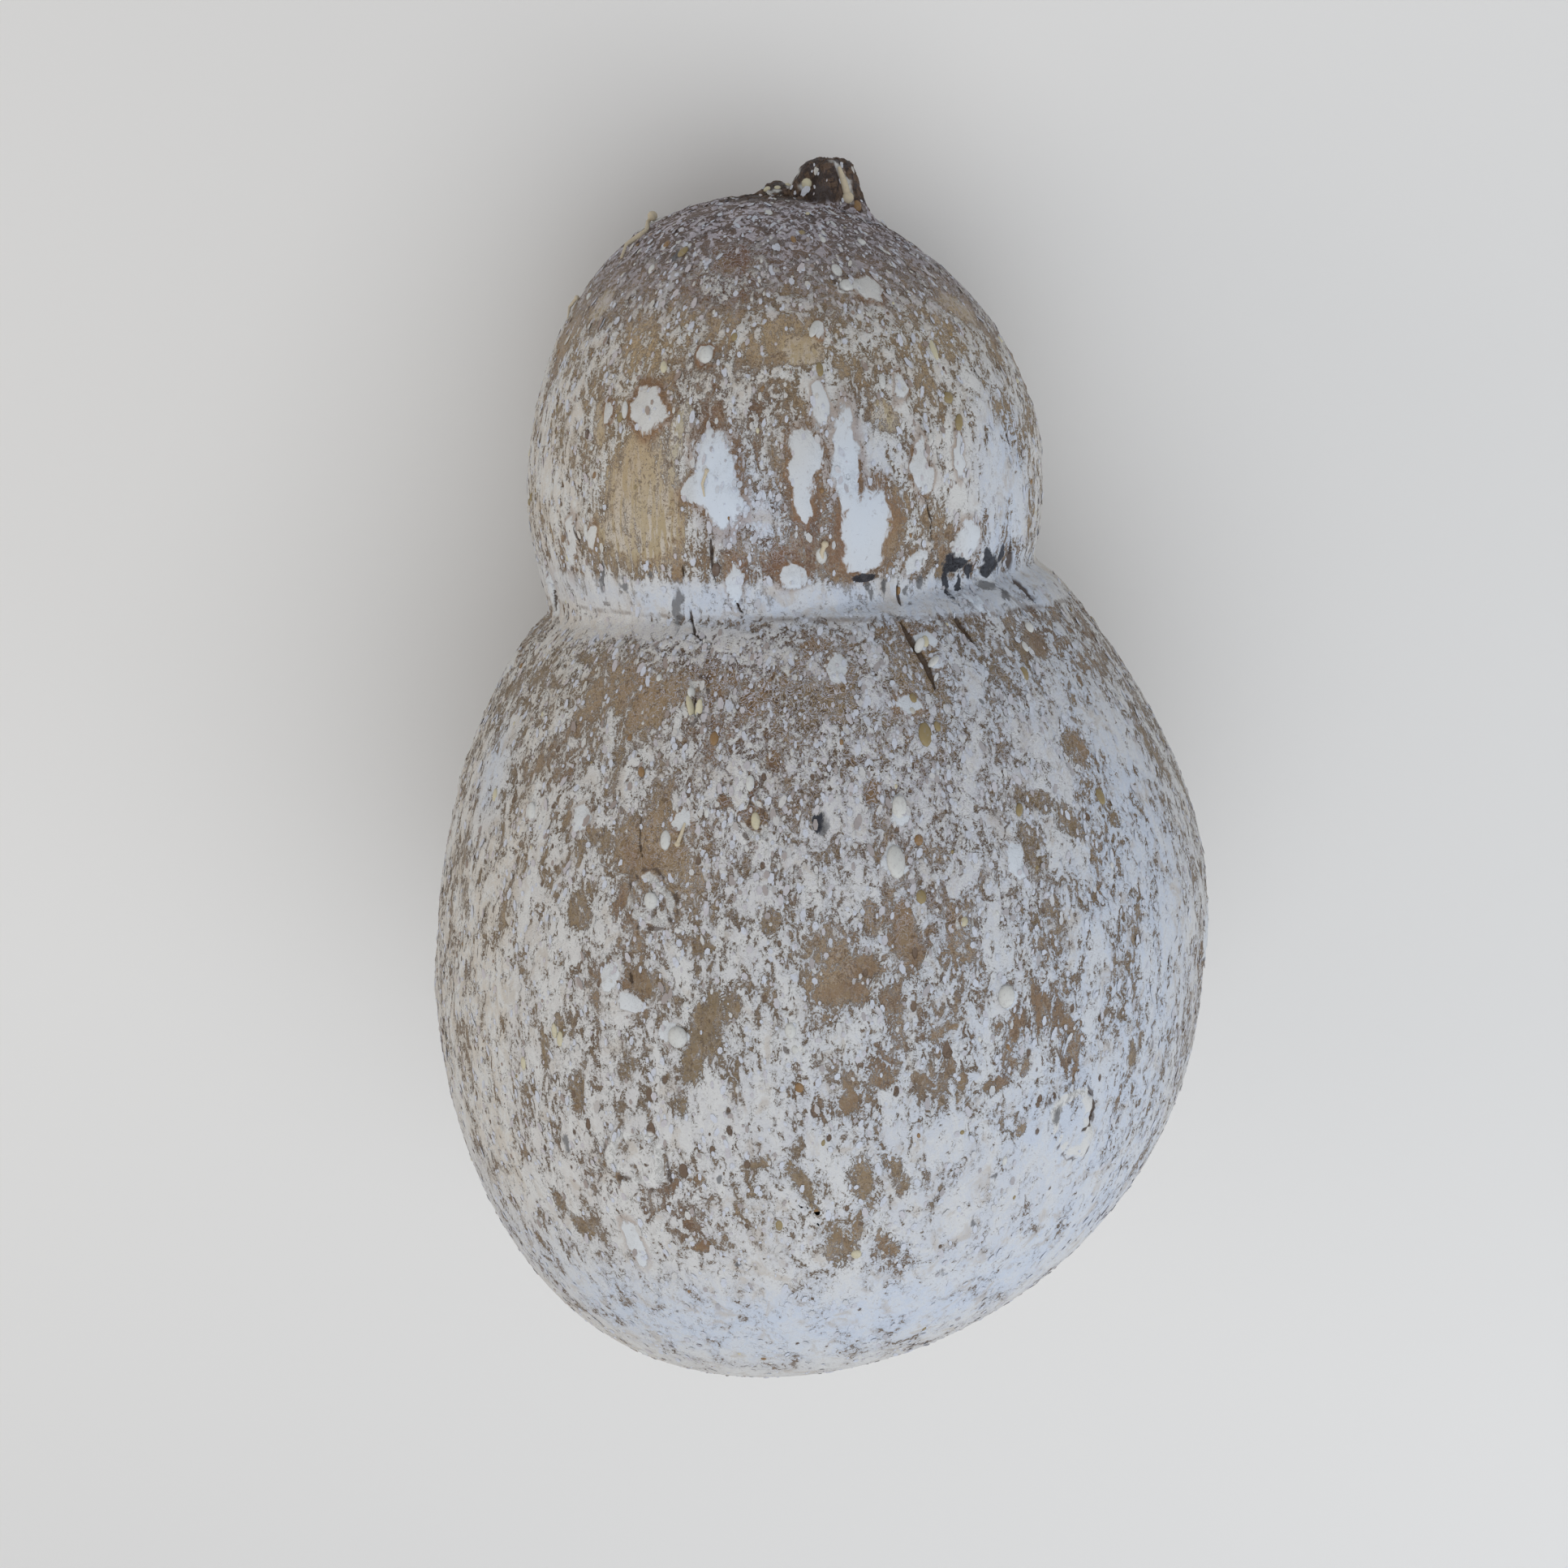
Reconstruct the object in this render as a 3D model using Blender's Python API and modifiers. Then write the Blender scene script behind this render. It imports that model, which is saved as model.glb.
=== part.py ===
"""Cave-aged caciocavallo: one gourd-shaped stretched-curd cheese lying on its side.

The cheese is worked out as it hung: a profile from the bottom of the belly up to the crown is
turned round the hanging axis. The turned skin then gets its lean, its slanted cord groove, the
gathers that the cord pressed into the waist, and the low crusts and blisters of the rind. The
dried knot of curd is joined on at the crown, and the cheese is laid down on its belly and head.
Metres, +Z up. The crown points to +Y, and the origin is below the middle of the cheese.
"""

import math

import bmesh
import bpy
import numpy as np
from mathutils import Matrix, Vector, noise

MM = 0.001

# Driving sizes of the cheese as it hung, measured up from the bottom of the belly
BELLY_RADIUS = 60.0 * MM
WAIST_RADIUS = 37.4 * MM
HEAD_RADIUS = 38.8 * MM
BELLY_HEIGHT = 68.0 * MM
WAIST_HEIGHT = 121.5 * MM
HEAD_HEIGHT = 133.0 * MM
CROWN_HEIGHT = 179.5 * MM

# How full each stretch of the profile is: power of the distance, then power of the whole
BASE_CURVE = (2.3, 0.44)
SHOULDER_CURVE = (1.66, 0.8)
THROAT_CURVE = (1.4, 2.2)
CROWN_CURVE = (2.3, 0.51)

# The belly sank a little under its own weight on the shelf: its height against its width
BELLY_SAG = 0.94

# Sideways place of the middle, and slope of the rings across it, at the five rings from the
# bottom to the crown: the cord pulled the cheese out of line as it hung
RINGS = (0.0, BELLY_HEIGHT, WAIST_HEIGHT, HEAD_HEIGHT, CROWN_HEIGHT)
LEAN = (10.0 * MM, 5.8 * MM, 1.4 * MM, 0.4 * MM, 1.4 * MM)
SLOPE = (0.22, 0.113, 0.109, 0.005, -0.118)

# Fineness of the turned skin
COLUMNS = 90
BASE_ROWS = 16
SHOULDER_ROWS = 13
GROOVE_ROWS = 10
HEAD_ROWS = 16

# Groove that the hanging cord left round the waist
CORD_HEIGHT = 123.0 * MM
CORD_WIDTH = 5.2 * MM
CORD_DEPTH = 0.45 * MM

# Gathers that cross the waist: angle round the axis in degrees (0 is +X, 90 the top as it
# lies), lower and upper end, width and depth
GATHERS = (
    (155, 117 * MM, 128 * MM, 3.2 * MM, 0.9 * MM),
    (132, 121 * MM, 131 * MM, 3.0 * MM, 0.3 * MM),
    (108, 116 * MM, 126 * MM, 2.8 * MM, 0.4 * MM),
    (68, 107 * MM, 123 * MM, 3.0 * MM, 0.6 * MM),
    (55, 110 * MM, 124 * MM, 3.2 * MM, 0.6 * MM),
    (34, 114 * MM, 135 * MM, 3.6 * MM, 1.1 * MM),
    (8, 112 * MM, 130 * MM, 3.4 * MM, 0.8 * MM),
    (346, 117 * MM, 137 * MM, 3.0 * MM, 0.6 * MM),
    (318, 110 * MM, 128 * MM, 3.8 * MM, 1.0 * MM),
    (297, 118 * MM, 134 * MM, 3.0 * MM, 0.5 * MM),
    (268, 112 * MM, 126 * MM, 3.4 * MM, 0.7 * MM),
    (240, 117 * MM, 136 * MM, 3.4 * MM, 0.9 * MM),
    (212, 111 * MM, 127 * MM, 3.0 * MM, 0.6 * MM),
    (184, 116 * MM, 131 * MM, 3.4 * MM, 0.8 * MM),
)

# Low crusts, blisters and split beads that stand on the rind: angle in degrees, height up the
# axis, half width round the cheese, half length along it, and rise
CRUSTS = (
    (120, 149 * MM, 3.2 * MM, 4.6 * MM, 0.4 * MM),
    (104, 141 * MM, 4.0 * MM, 7.0 * MM, 0.4 * MM),
    (86, 141 * MM, 3.2 * MM, 6.5 * MM, 0.5 * MM),
    (74, 134 * MM, 4.6 * MM, 7.0 * MM, 0.5 * MM),
    (89, 126.5 * MM, 2.8 * MM, 2.2 * MM, 0.6 * MM),
    (107, 112 * MM, 2.2 * MM, 3.6 * MM, 0.7 * MM),
    (113, 87 * MM, 3.4 * MM, 3.6 * MM, 0.5 * MM),
    (116, 52 * MM, 4.6 * MM, 4.8 * MM, 0.5 * MM),
    (54, 47 * MM, 5.0 * MM, 7.0 * MM, 0.6 * MM),
    (79, 90 * MM, 2.4 * MM, 4.6 * MM, 0.4 * MM),
    (118, 77 * MM, 2.4 * MM, 3.2 * MM, 0.5 * MM),
    (212, 84 * MM, 3.8 * MM, 4.6 * MM, 0.5 * MM),
    (248, 56 * MM, 4.4 * MM, 6.0 * MM, 0.5 * MM),
    (335, 92 * MM, 3.6 * MM, 5.2 * MM, 0.5 * MM),
    (302, 150 * MM, 4.0 * MM, 5.4 * MM, 0.4 * MM),
    (12, 145 * MM, 3.4 * MM, 6.0 * MM, 0.4 * MM),
    (190, 143 * MM, 3.6 * MM, 6.6 * MM, 0.4 * MM),
)

# Broad unevenness of a form that was worked by hand
LUMP_SPAN = 42.0 * MM
LUMP_RISE = 0.35 * MM
LUMP_SEED = 7.3

# Inside this distance of the axis the skin carries no relief
POLE_RADIUS = 2.0 * MM

# Dried knot of curd at the crown
KNOT_BASE_RADIUS = 7.6 * MM
KNOT_TOP_RADIUS = 2.9 * MM
KNOT_RISE = 6.4 * MM
KNOT_ROOT = 4.0 * MM
KNOT_SHOULDER = 0.94
KNOT_PLACE = (4.4 * MM, 1.5 * MM)
KNOT_LEAN = 0.08
KNOT_PLEATS = 5
KNOT_PLEAT_DEPTH = 0.15
KNOT_SQUASH = 0.14
KNOT_TWIST = 1.1
KNOT_SIDES = 30
KNOT_ROWS = 6
LOBE_RADIUS = 3.2 * MM
LOBE_PLACE = (-2.2 * MM, 1.0 * MM)
LOBE_SINK = 0.3
CROWN_STEP = 0.1 * MM

# How deep the belly and the head have flattened where the cheese rests
REST_DEPTH = 0.8 * MM

# Points closer than this are one point
WELD = 0.05 * MM

RIND_COLOUR = (0.50, 0.40, 0.29, 1.0)
RIND_ROUGHNESS = 0.75


def eased(height, values):
    """A value between the rings, eased from one ring to the next."""
    for low, high, start, end in zip(RINGS, RINGS[1:], values, values[1:]):
        if height <= high:
            share = max(0.0, (height - low) / (high - low))
            return start + (end - start) * share * share * (3 - 2 * share)
    return values[-1]


def arch(share, curve):
    """A curve that is 1 at a share of 0 and falls to 0 at a share of 1."""
    return max(0.0, 1 - share ** curve[0]) ** curve[1]


def radius_at(height):
    """Radius of the cheese at a height up the hanging axis."""
    if height <= BELLY_HEIGHT:
        return BELLY_RADIUS * arch(1 - height / BELLY_HEIGHT, BASE_CURVE)
    if height <= WAIST_HEIGHT:
        share = (height - BELLY_HEIGHT) / (WAIST_HEIGHT - BELLY_HEIGHT)
        return WAIST_RADIUS + (BELLY_RADIUS - WAIST_RADIUS) * arch(share, SHOULDER_CURVE)
    if height <= HEAD_HEIGHT:
        share = (HEAD_HEIGHT - height) / (HEAD_HEIGHT - WAIST_HEIGHT)
        return WAIST_RADIUS + (HEAD_RADIUS - WAIST_RADIUS) * arch(share, THROAT_CURVE)
    share = min(1.0, (height - HEAD_HEIGHT) / (CROWN_HEIGHT - HEAD_HEIGHT))
    return HEAD_RADIUS * arch(share, CROWN_CURVE)


def ring_heights():
    """Heights of the profile's points, close together at the groove and at both ends."""
    groove_low = CORD_HEIGHT - CORD_WIDTH
    groove_high = CORD_HEIGHT + CORD_WIDTH
    heights = []
    for row in range(BASE_ROWS):
        heights.append(BELLY_HEIGHT * (1 - math.cos(0.5 * math.pi * row / BASE_ROWS)))
    for row in range(SHOULDER_ROWS):
        heights.append(BELLY_HEIGHT + (groove_low - BELLY_HEIGHT) * row / SHOULDER_ROWS)
    for row in range(GROOVE_ROWS):
        heights.append(groove_low + (groove_high - groove_low) * row / GROOVE_ROWS)
    for row in range(HEAD_ROWS + 1):
        rise = math.sin(0.5 * math.pi * row / HEAD_ROWS)
        heights.append(groove_high + (CROWN_HEIGHT - groove_high) * rise)
    return heights


def turned(name, collection, points, sides):
    """A profile of (radius, height) points, top to bottom, turned round the Z axis."""
    edges = [(row, row + 1) for row in range(len(points) - 1)]
    mesh = bpy.data.meshes.new(name)
    mesh.from_pydata([(radius, 0.0, height) for radius, height in points], edges, [])
    shape = bpy.data.objects.new(name, mesh)
    collection.objects.link(shape)
    screw = shape.modifiers.new("Turn", "SCREW")
    screw.axis = "Z"
    screw.steps = sides
    screw.render_steps = sides
    screw.use_merge_vertices = True
    screw.merge_threshold = 0.01 * MM
    apply_modifiers(shape)
    return shape


def cheese_profile():
    """The profile from the crown down its outer side to the bottom, closed on the axis."""
    points = [(radius_at(height), height) for height in reversed(ring_heights())]
    points[0] = (0.0, points[0][1])
    points[-1] = (0.0, points[-1][1])
    return points


def knot_profile():
    """The knot's stub from its rounded top down to its root inside the crown."""
    length = KNOT_RISE + KNOT_ROOT
    points = [(0.0, length), (0.55 * KNOT_TOP_RADIUS, 0.985 * length)]
    for row in range(KNOT_ROWS + 1):
        share = KNOT_SHOULDER * (1 - row / KNOT_ROWS)
        narrowing = KNOT_BASE_RADIUS - KNOT_TOP_RADIUS
        points.append((KNOT_BASE_RADIUS - narrowing * share ** 0.7, length * share))
    points.append((0.0, 0.0))
    return points


def apply_modifiers(target):
    """Replace an object's mesh by its evaluated one."""
    graph = bpy.context.evaluated_depsgraph_get()
    made = bpy.data.meshes.new_from_object(target.evaluated_get(graph))
    before = target.data
    target.modifiers.clear()
    target.data = made
    bpy.data.meshes.remove(before)


def angle_between(a, b):
    """Signed difference of two angles in degrees, from -180 to 180."""
    return (a - b + 180) % 360 - 180


def window(height, low, high):
    """1 between two heights, easing to 0 over the last third at each end."""
    middle = 0.5 * (low + high)
    share = abs(height - middle) / (0.5 * (high - low))
    return min(1.0, max(0.0, 3 * (1 - share)))


def cord_groove(height):
    """Depth of the cord's round-bottomed groove."""
    share = (height - CORD_HEIGHT) / (0.5 * CORD_WIDTH)
    return CORD_DEPTH * math.exp(-share ** 4)


def gather_relief(angle, height, radius):
    """Creases across the waist, each with a low lip on both sides."""
    relief = 0.0
    for middle, low, high, width, depth in GATHERS:
        across = abs(math.radians(angle_between(angle, middle))) * radius / width
        if across < 3:
            crease = math.exp(-((2 * across) ** 2))
            lip = math.exp(-((2 * across - 2.2) ** 2))
            relief += depth * window(height, low, high) * (0.35 * lip - crease)
    return relief


def crust_relief(angle, height, radius):
    """Rise of the low crusts and blisters."""
    relief = 0.0
    for middle, place, half_width, half_length, rise in CRUSTS:
        across = math.radians(angle_between(angle, middle)) * radius / half_width
        along = (height - place) / half_length
        relief += rise * math.exp(-((across ** 2 + along ** 2) ** 2))
    return relief


def lump_relief(point):
    """Broad lumps and hollows of the hand-worked form."""
    return LUMP_RISE * noise.noise(point / LUMP_SPAN + Vector((LUMP_SEED, 0, 0)))


def shape_skin(skin):
    """Move every point of the turned skin out to the relief, the lean and the slopes."""
    for vertex in skin.data.vertices:
        x, y, height = vertex.co
        radius = math.hypot(x, y)
        angle = math.degrees(math.atan2(y, x)) % 360
        if radius > POLE_RADIUS:
            relief = gather_relief(angle, height, radius) + crust_relief(angle, height, radius)
            relief += lump_relief(vertex.co) - cord_groove(height)
            x *= 1 + relief / radius
            y *= 1 + relief / radius
        sag = BELLY_SAG + (1 - BELLY_SAG) * smooth_share(height, BELLY_HEIGHT, WAIST_HEIGHT)
        vertex.co = (
            x + eased(height, LEAN),
            y * sag,
            height + eased(height, SLOPE) * x,
        )


def smooth_share(value, low, high):
    """0 below low, 1 above high, eased between them."""
    share = min(1.0, max(0.0, (value - low) / (high - low)))
    return share * share * (3 - 2 * share)


def pleated_stub(name, collection):
    """The knot: a turned stub, pinched into pleats and bent a little sideways."""
    stub = turned(name, collection, knot_profile(), KNOT_SIDES)
    length = KNOT_RISE + KNOT_ROOT
    for vertex in stub.data.vertices:
        x, y, height = vertex.co
        share = height / length
        turn = math.atan2(y, x)
        pleat = 1 + KNOT_PLEAT_DEPTH * math.sin(KNOT_PLEATS * turn + KNOT_TWIST * share)
        pleat += KNOT_SQUASH * math.sin(2 * turn + 1)
        bend = KNOT_LEAN * length * share ** 2
        vertex.co = (x * pleat + bend, y * pleat, height)
    return stub


def knot_lobe(name, collection):
    """Low lobe of curd at the side of the knot."""
    mesh = bpy.data.meshes.new(name)
    build = bmesh.new()
    bmesh.ops.create_icosphere(build, subdivisions=2, radius=LOBE_RADIUS)
    build.to_mesh(mesh)
    build.free()
    lobe = bpy.data.objects.new(name, mesh)
    collection.objects.link(lobe)
    return lobe


def place_on_crown(piece, place, lift):
    """Put a piece at a sideways place on the crown, lift above the crown's skin."""
    across = math.hypot(place[0], place[1])
    height = CROWN_HEIGHT
    while radius_at(height) < across:
        height -= CROWN_STEP
    ends = (LEAN[-1] + place[0], place[1], height + SLOPE[-1] * place[0] + lift)
    piece.data.transform(Matrix.Translation(ends))


def join_knot(skin, pieces):
    """One union of the skin with the collection that holds the knot's pieces."""
    union = skin.modifiers.new("Knot", "BOOLEAN")
    union.operation = "UNION"
    union.operand_type = "COLLECTION"
    union.collection = pieces
    union.solver = "EXACT"
    apply_modifiers(skin)
    for piece in list(pieces.objects):
        bpy.data.objects.remove(piece)


def lay_down(skin):
    """Turn the hanging axis to +Y, head down until belly and head touch the same plane."""
    points = np.array([vertex.co for vertex in skin.data.vertices])
    on_belly = points[:, 2] < WAIST_HEIGHT
    low, high = 0.0, math.radians(40)
    for _ in range(40):
        tilt = 0.5 * (low + high)
        level = points[:, 1] * math.cos(tilt) - points[:, 2] * math.sin(tilt)
        if level[on_belly].min() < level[~on_belly].min():
            low = tilt
        else:
            high = tilt
    turn = Matrix.Rotation(-tilt, 4, "X")
    hung_to_lying = Matrix(((1, 0, 0, 0), (0, 0, 1, 0), (0, 1, 0, 0), (0, 0, 0, 1)))
    skin.data.transform(turn @ hung_to_lying)
    skin.data.flip_normals()


def settle(skin):
    """Flatten the two places that rest, and centre the cheese over the origin."""
    points = np.array([vertex.co for vertex in skin.data.vertices])
    low, high = points.min(axis=0), points.max(axis=0)
    middle = 0.5 * (low + high)
    skin.data.transform(Matrix.Translation((-middle[0], -middle[1], -low[2] - REST_DEPTH)))
    for vertex in skin.data.vertices:
        vertex.co.z = max(0.0, vertex.co.z)


def tidy_mesh(skin):
    """Merge what coincides, split into triangles and point every face outwards."""
    build = bmesh.new()
    build.from_mesh(skin.data)
    bmesh.ops.remove_doubles(build, verts=build.verts, dist=WELD)
    bmesh.ops.triangulate(build, faces=build.faces)
    bmesh.ops.recalc_face_normals(build, faces=build.faces)
    build.to_mesh(skin.data)
    build.free()


def rind_material():
    """Dry matt rind."""
    material = bpy.data.materials.new("rind")
    material.use_nodes = True
    surface = material.node_tree.nodes["Principled BSDF"]
    surface.inputs["Base Color"].default_value = RIND_COLOUR
    surface.inputs["Roughness"].default_value = RIND_ROUGHNESS
    surface.inputs["Metallic"].default_value = 0.0
    return material


def clear_scene():
    for thing in list(bpy.data.objects):
        bpy.data.objects.remove(thing)


def new_collection(name):
    collection = bpy.data.collections.new(name)
    bpy.context.scene.collection.children.link(collection)
    return collection


def main():
    clear_scene()
    whole = new_collection("cave_aged_caciocavallo")
    joined = new_collection("knot_pieces")
    cheese = turned("cheese", whole, cheese_profile(), COLUMNS)
    shape_skin(cheese)
    stub = pleated_stub("knot_stub", joined)
    place_on_crown(stub, KNOT_PLACE, -KNOT_ROOT)
    lobe = knot_lobe("knot_lobe", joined)
    place_on_crown(lobe, LOBE_PLACE, -LOBE_SINK * LOBE_RADIUS)
    join_knot(cheese, joined)
    bpy.data.collections.remove(joined)
    lay_down(cheese)
    settle(cheese)
    tidy_mesh(cheese)
    cheese.data.materials.clear()
    cheese.data.materials.append(rind_material())
    cheese.data.shade_smooth()
    print("cheese triangles:", len(cheese.data.polygons))


main()
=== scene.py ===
import math

import bmesh
import bpy
import numpy as np
from mathutils import Matrix, Vector, noise
from mathutils.bvhtree import BVHTree


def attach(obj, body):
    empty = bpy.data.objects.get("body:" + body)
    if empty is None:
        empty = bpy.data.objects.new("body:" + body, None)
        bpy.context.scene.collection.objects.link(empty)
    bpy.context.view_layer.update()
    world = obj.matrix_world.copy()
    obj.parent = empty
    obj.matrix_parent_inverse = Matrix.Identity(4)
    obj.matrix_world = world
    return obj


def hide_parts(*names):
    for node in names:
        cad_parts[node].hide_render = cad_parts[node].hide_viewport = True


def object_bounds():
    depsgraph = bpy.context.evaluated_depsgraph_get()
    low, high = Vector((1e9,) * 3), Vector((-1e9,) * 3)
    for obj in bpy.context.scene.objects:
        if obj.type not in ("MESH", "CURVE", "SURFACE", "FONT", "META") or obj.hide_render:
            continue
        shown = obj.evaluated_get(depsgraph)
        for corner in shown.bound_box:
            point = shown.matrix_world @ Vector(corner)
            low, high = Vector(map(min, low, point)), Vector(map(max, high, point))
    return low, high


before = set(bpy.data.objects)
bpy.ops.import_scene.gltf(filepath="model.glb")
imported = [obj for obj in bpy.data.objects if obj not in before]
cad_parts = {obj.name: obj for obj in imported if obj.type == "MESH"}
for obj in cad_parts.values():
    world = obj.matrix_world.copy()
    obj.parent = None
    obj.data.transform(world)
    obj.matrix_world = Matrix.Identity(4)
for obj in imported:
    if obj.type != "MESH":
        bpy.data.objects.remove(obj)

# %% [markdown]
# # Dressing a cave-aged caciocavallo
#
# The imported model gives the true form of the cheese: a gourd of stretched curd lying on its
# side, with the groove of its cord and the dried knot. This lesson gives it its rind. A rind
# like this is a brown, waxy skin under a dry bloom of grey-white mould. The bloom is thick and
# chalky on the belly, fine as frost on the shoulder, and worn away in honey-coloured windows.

MM = 0.001
cad_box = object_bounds()
print("cheese box, mm:", [round(value / MM, 1) for corner in cad_box for value in corner])

# %% [markdown]
# ## The camera comes first
#
# The marks on the rind are placed by where they show in the picture, so the camera is made
# before them. It stands a little over a third of a metre above the table, on the crown's side,
# and leans 27 degrees from straight down. Its focal length of 2700 pixels, in a picture 1932
# pixels wide, keeps the perspective of a phone held close.

# %% Camera
PICTURE_SIDE = 1932
LENS_IN_PIXELS = 2700
SENSOR = 36.0
CAMERA_LEAN = math.radians(27)
CAMERA_PLACE = Vector((-5.5 * MM, 155.5 * MM, 355.8 * MM))

looking = Vector((0, -math.sin(CAMERA_LEAN), -math.cos(CAMERA_LEAN)))
picture_up = Vector((0, math.cos(CAMERA_LEAN), -math.sin(CAMERA_LEAN)))
picture_right = looking.cross(picture_up)


def add_object(name, data):
    """A new object in the scene, round its data."""
    made = bpy.data.objects.new(name, data)
    bpy.context.scene.collection.objects.link(made)
    return made


lens = bpy.data.cameras.new("camera")
lens.sensor_width = SENSOR
lens.lens = SENSOR * LENS_IN_PIXELS / PICTURE_SIDE
lens.clip_start = 10 * MM
camera = add_object("camera", lens)
turn = Matrix((picture_right, picture_up, -looking)).transposed()
camera.matrix_world = Matrix.Translation(CAMERA_PLACE) @ turn.to_4x4()
bpy.context.scene.camera = camera
print("lens, mm:", round(lens.lens, 1))

# %% [markdown]
# ## A smooth skin over the faceted form
#
# The solid has about ten thousand flat triangles. A copy of it is merged into one closed mesh,
# its triangles are paired into quads, and two rounds of subdivision turn it into a smooth skin
# with a point about every millimetre. That is fine enough for the bloom to have real thickness.

# %% Fine skin
SAME_POINT = 0.001 * MM
PAIRING_ANGLE = math.radians(40)
SKIN_LEVELS = 2


def plain_mesh(target):
    """An object's evaluated mesh, in place of its own, with no modifiers left."""
    graph = bpy.context.evaluated_depsgraph_get()
    made = bpy.data.meshes.new_from_object(target.evaluated_get(graph))
    before = target.data
    target.modifiers.clear()
    target.data = made
    bpy.data.meshes.remove(before)


def merged_copy(node, name):
    """A closed, quad-paired copy of a node's loose triangles."""
    build = bmesh.new()
    build.from_mesh(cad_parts[node].data)
    bmesh.ops.remove_doubles(build, verts=build.verts, dist=SAME_POINT)
    bmesh.ops.join_triangles(build, faces=build.faces, cmp_materials=False,
                             angle_face_threshold=PAIRING_ANGLE, angle_shape_threshold=math.pi)
    mesh = bpy.data.meshes.new(name)
    build.to_mesh(mesh)
    build.free()
    return add_object(name, mesh)


rind = merged_copy("cheese", "cheese_rind")
print("paired faces:", len(rind.data.polygons))
smoothing = rind.modifiers.new("Smooth skin", "SUBSURF")
smoothing.levels = SKIN_LEVELS
smoothing.render_levels = SKIN_LEVELS
plain_mesh(rind)
print("skin points:", len(rind.data.vertices))

# %% [markdown]
# ## Finding a place on the rind
#
# Two ways lead to a point of the skin. A mark that the picture shows is found by a ray from the
# camera through its pixel. A mark on a hidden side is found from the inside: the cheese hung on
# a line from its base to its crown, so a height along that line and an angle round it meet the
# skin in one point. Each place carries the skin's normal and the direction of the crown.

# %% Places
HUNG_TILT = math.radians(16.04)
HUNG_BASE = Vector((-5.8 * MM, -87.1 * MM, 75.9 * MM))
hung_axis = Vector((0, math.cos(HUNG_TILT), -math.sin(HUNG_TILT)))
hung_up = Vector((0, math.sin(HUNG_TILT), math.cos(HUNG_TILT)))
hung_side = Vector((1, 0, 0))
# Steps in mm along a ray that passes beside the cheese
RAY_REACHES = range(240, 460, 2)


def skin_tree(target):
    """A search tree of an object's faces."""
    build = bmesh.new()
    build.from_mesh(target.data)
    tree = BVHTree.FromBMesh(build)
    build.free()
    return tree


skin = skin_tree(rind)


def place_from_hit(point, normal):
    """A place: the point, the way across, the way to the crown, and the way out."""
    crown = (hung_axis - normal * hung_axis.dot(normal)).normalized()
    across = crown.cross(normal).normalized()
    return np.array((point, across, crown, normal)) / np.array([[MM], [1], [1], [1]])


def pixel_ray(x, y):
    """The way from the camera through a pixel."""
    middle = PICTURE_SIDE / 2
    ray = looking * LENS_IN_PIXELS + picture_right * (x - middle) + picture_up * (middle - y)
    return ray.normalized()


def passing_by(x, y):
    """Where a pixel's ray comes nearest to the skin: a point of the ray, and one of the skin."""
    ray = pixel_ray(x, y)
    spots = [CAMERA_PLACE + ray * reach * MM for reach in RAY_REACHES]
    found = [(spot, *skin.find_nearest(spot)) for spot in spots]
    return min(found, key=lambda item: item[-1])


def by_pixel(x, y):
    """The place that the picture shows at a pixel, or the nearest edge beside it."""
    point, normal, _, _ = skin.ray_cast(CAMERA_PLACE, pixel_ray(x, y))
    if point is None:
        _, point, normal, _, _ = passing_by(x, y)
    return place_from_hit(point, normal)


def by_angle(angle, height):
    """The place at an angle in degrees round the line and a height in mm along it."""
    ray = hung_side * math.cos(math.radians(angle)) + hung_up * math.sin(math.radians(angle))
    point, normal, _, _ = skin.ray_cast(HUNG_BASE + hung_axis * height * MM, ray)
    return place_from_hit(point, normal)


print("knot side, mm:", by_pixel(1005, 300)[0].round(1))

# %% [markdown]
# ## Where the rind is cracked
#
# A hard cheese shrinks as it ages, and the rind splits where the cord folded it. Each crack is
# a short line of pixels, laid on the skin point by point. The skin is cut finer along every
# crack, so that the split is a real groove and not a painted line.

# %% Crack lines
# Half width in mm, then the pixels that the crack passes, from the top down
CRACKS = (
    (0.25, ((875, 655), (877, 690), (883, 725))),
    (0.25, ((849, 738), (852, 762), (857, 782), (868, 792))),
    (0.42, ((684, 720), (688, 745), (680, 775), (670, 786))),
    (0.16, ((709, 640), (712, 660), (718, 680))),
    (0.14, ((726, 755), (726, 776))),
    (0.15, ((840, 695), (843, 714))),
    (0.28, ((1106, 712), (1106, 735), (1112, 752))),
    (0.16, ((1138, 605), (1147, 640), (1148, 690))),
    (0.14, ((1174, 625), (1175, 700))),
    (0.80, ((1244, 655), (1243, 690), (1256, 722), (1278, 748))),
    (0.48, ((1106, 760), (1122, 788), (1142, 820), (1156, 858))),
    (0.40, ((1172, 752), (1186, 775), (1206, 800))),
    (0.22, ((856, 856), (858, 888))),
    (0.36, ((1341, 1343), (1348, 1362), (1340, 1382), (1328, 1398))),
    (0.24, ((775, 1196), (780, 1216))),
    (0.16, ((906, 738), (912, 752), (924, 765))),
    (0.14, ((789, 1000), (788, 1040), (791, 1060))),
)
# On the sides that the picture doesn't show: half width, then angle and height of each point
HIDDEN_CRACKS = (
    (0.30, ((8, 130), (6, 122), (9, 115))),
    (0.22, ((346, 134), (347, 125))),
    (0.36, ((318, 127), (320, 119), (316, 112))),
    (0.24, ((297, 133), (296, 122))),
    (0.30, ((268, 126), (270, 118), (267, 112))),
    (0.30, ((240, 136), (241, 126), (238, 118))),
    (0.22, ((212, 126), (213, 117))),
    (0.26, ((184, 130), (183, 121), (186, 114))),
    (0.20, ((230, 62), (233, 50))),
    (0.20, ((310, 84), (307, 74))),
)

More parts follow.
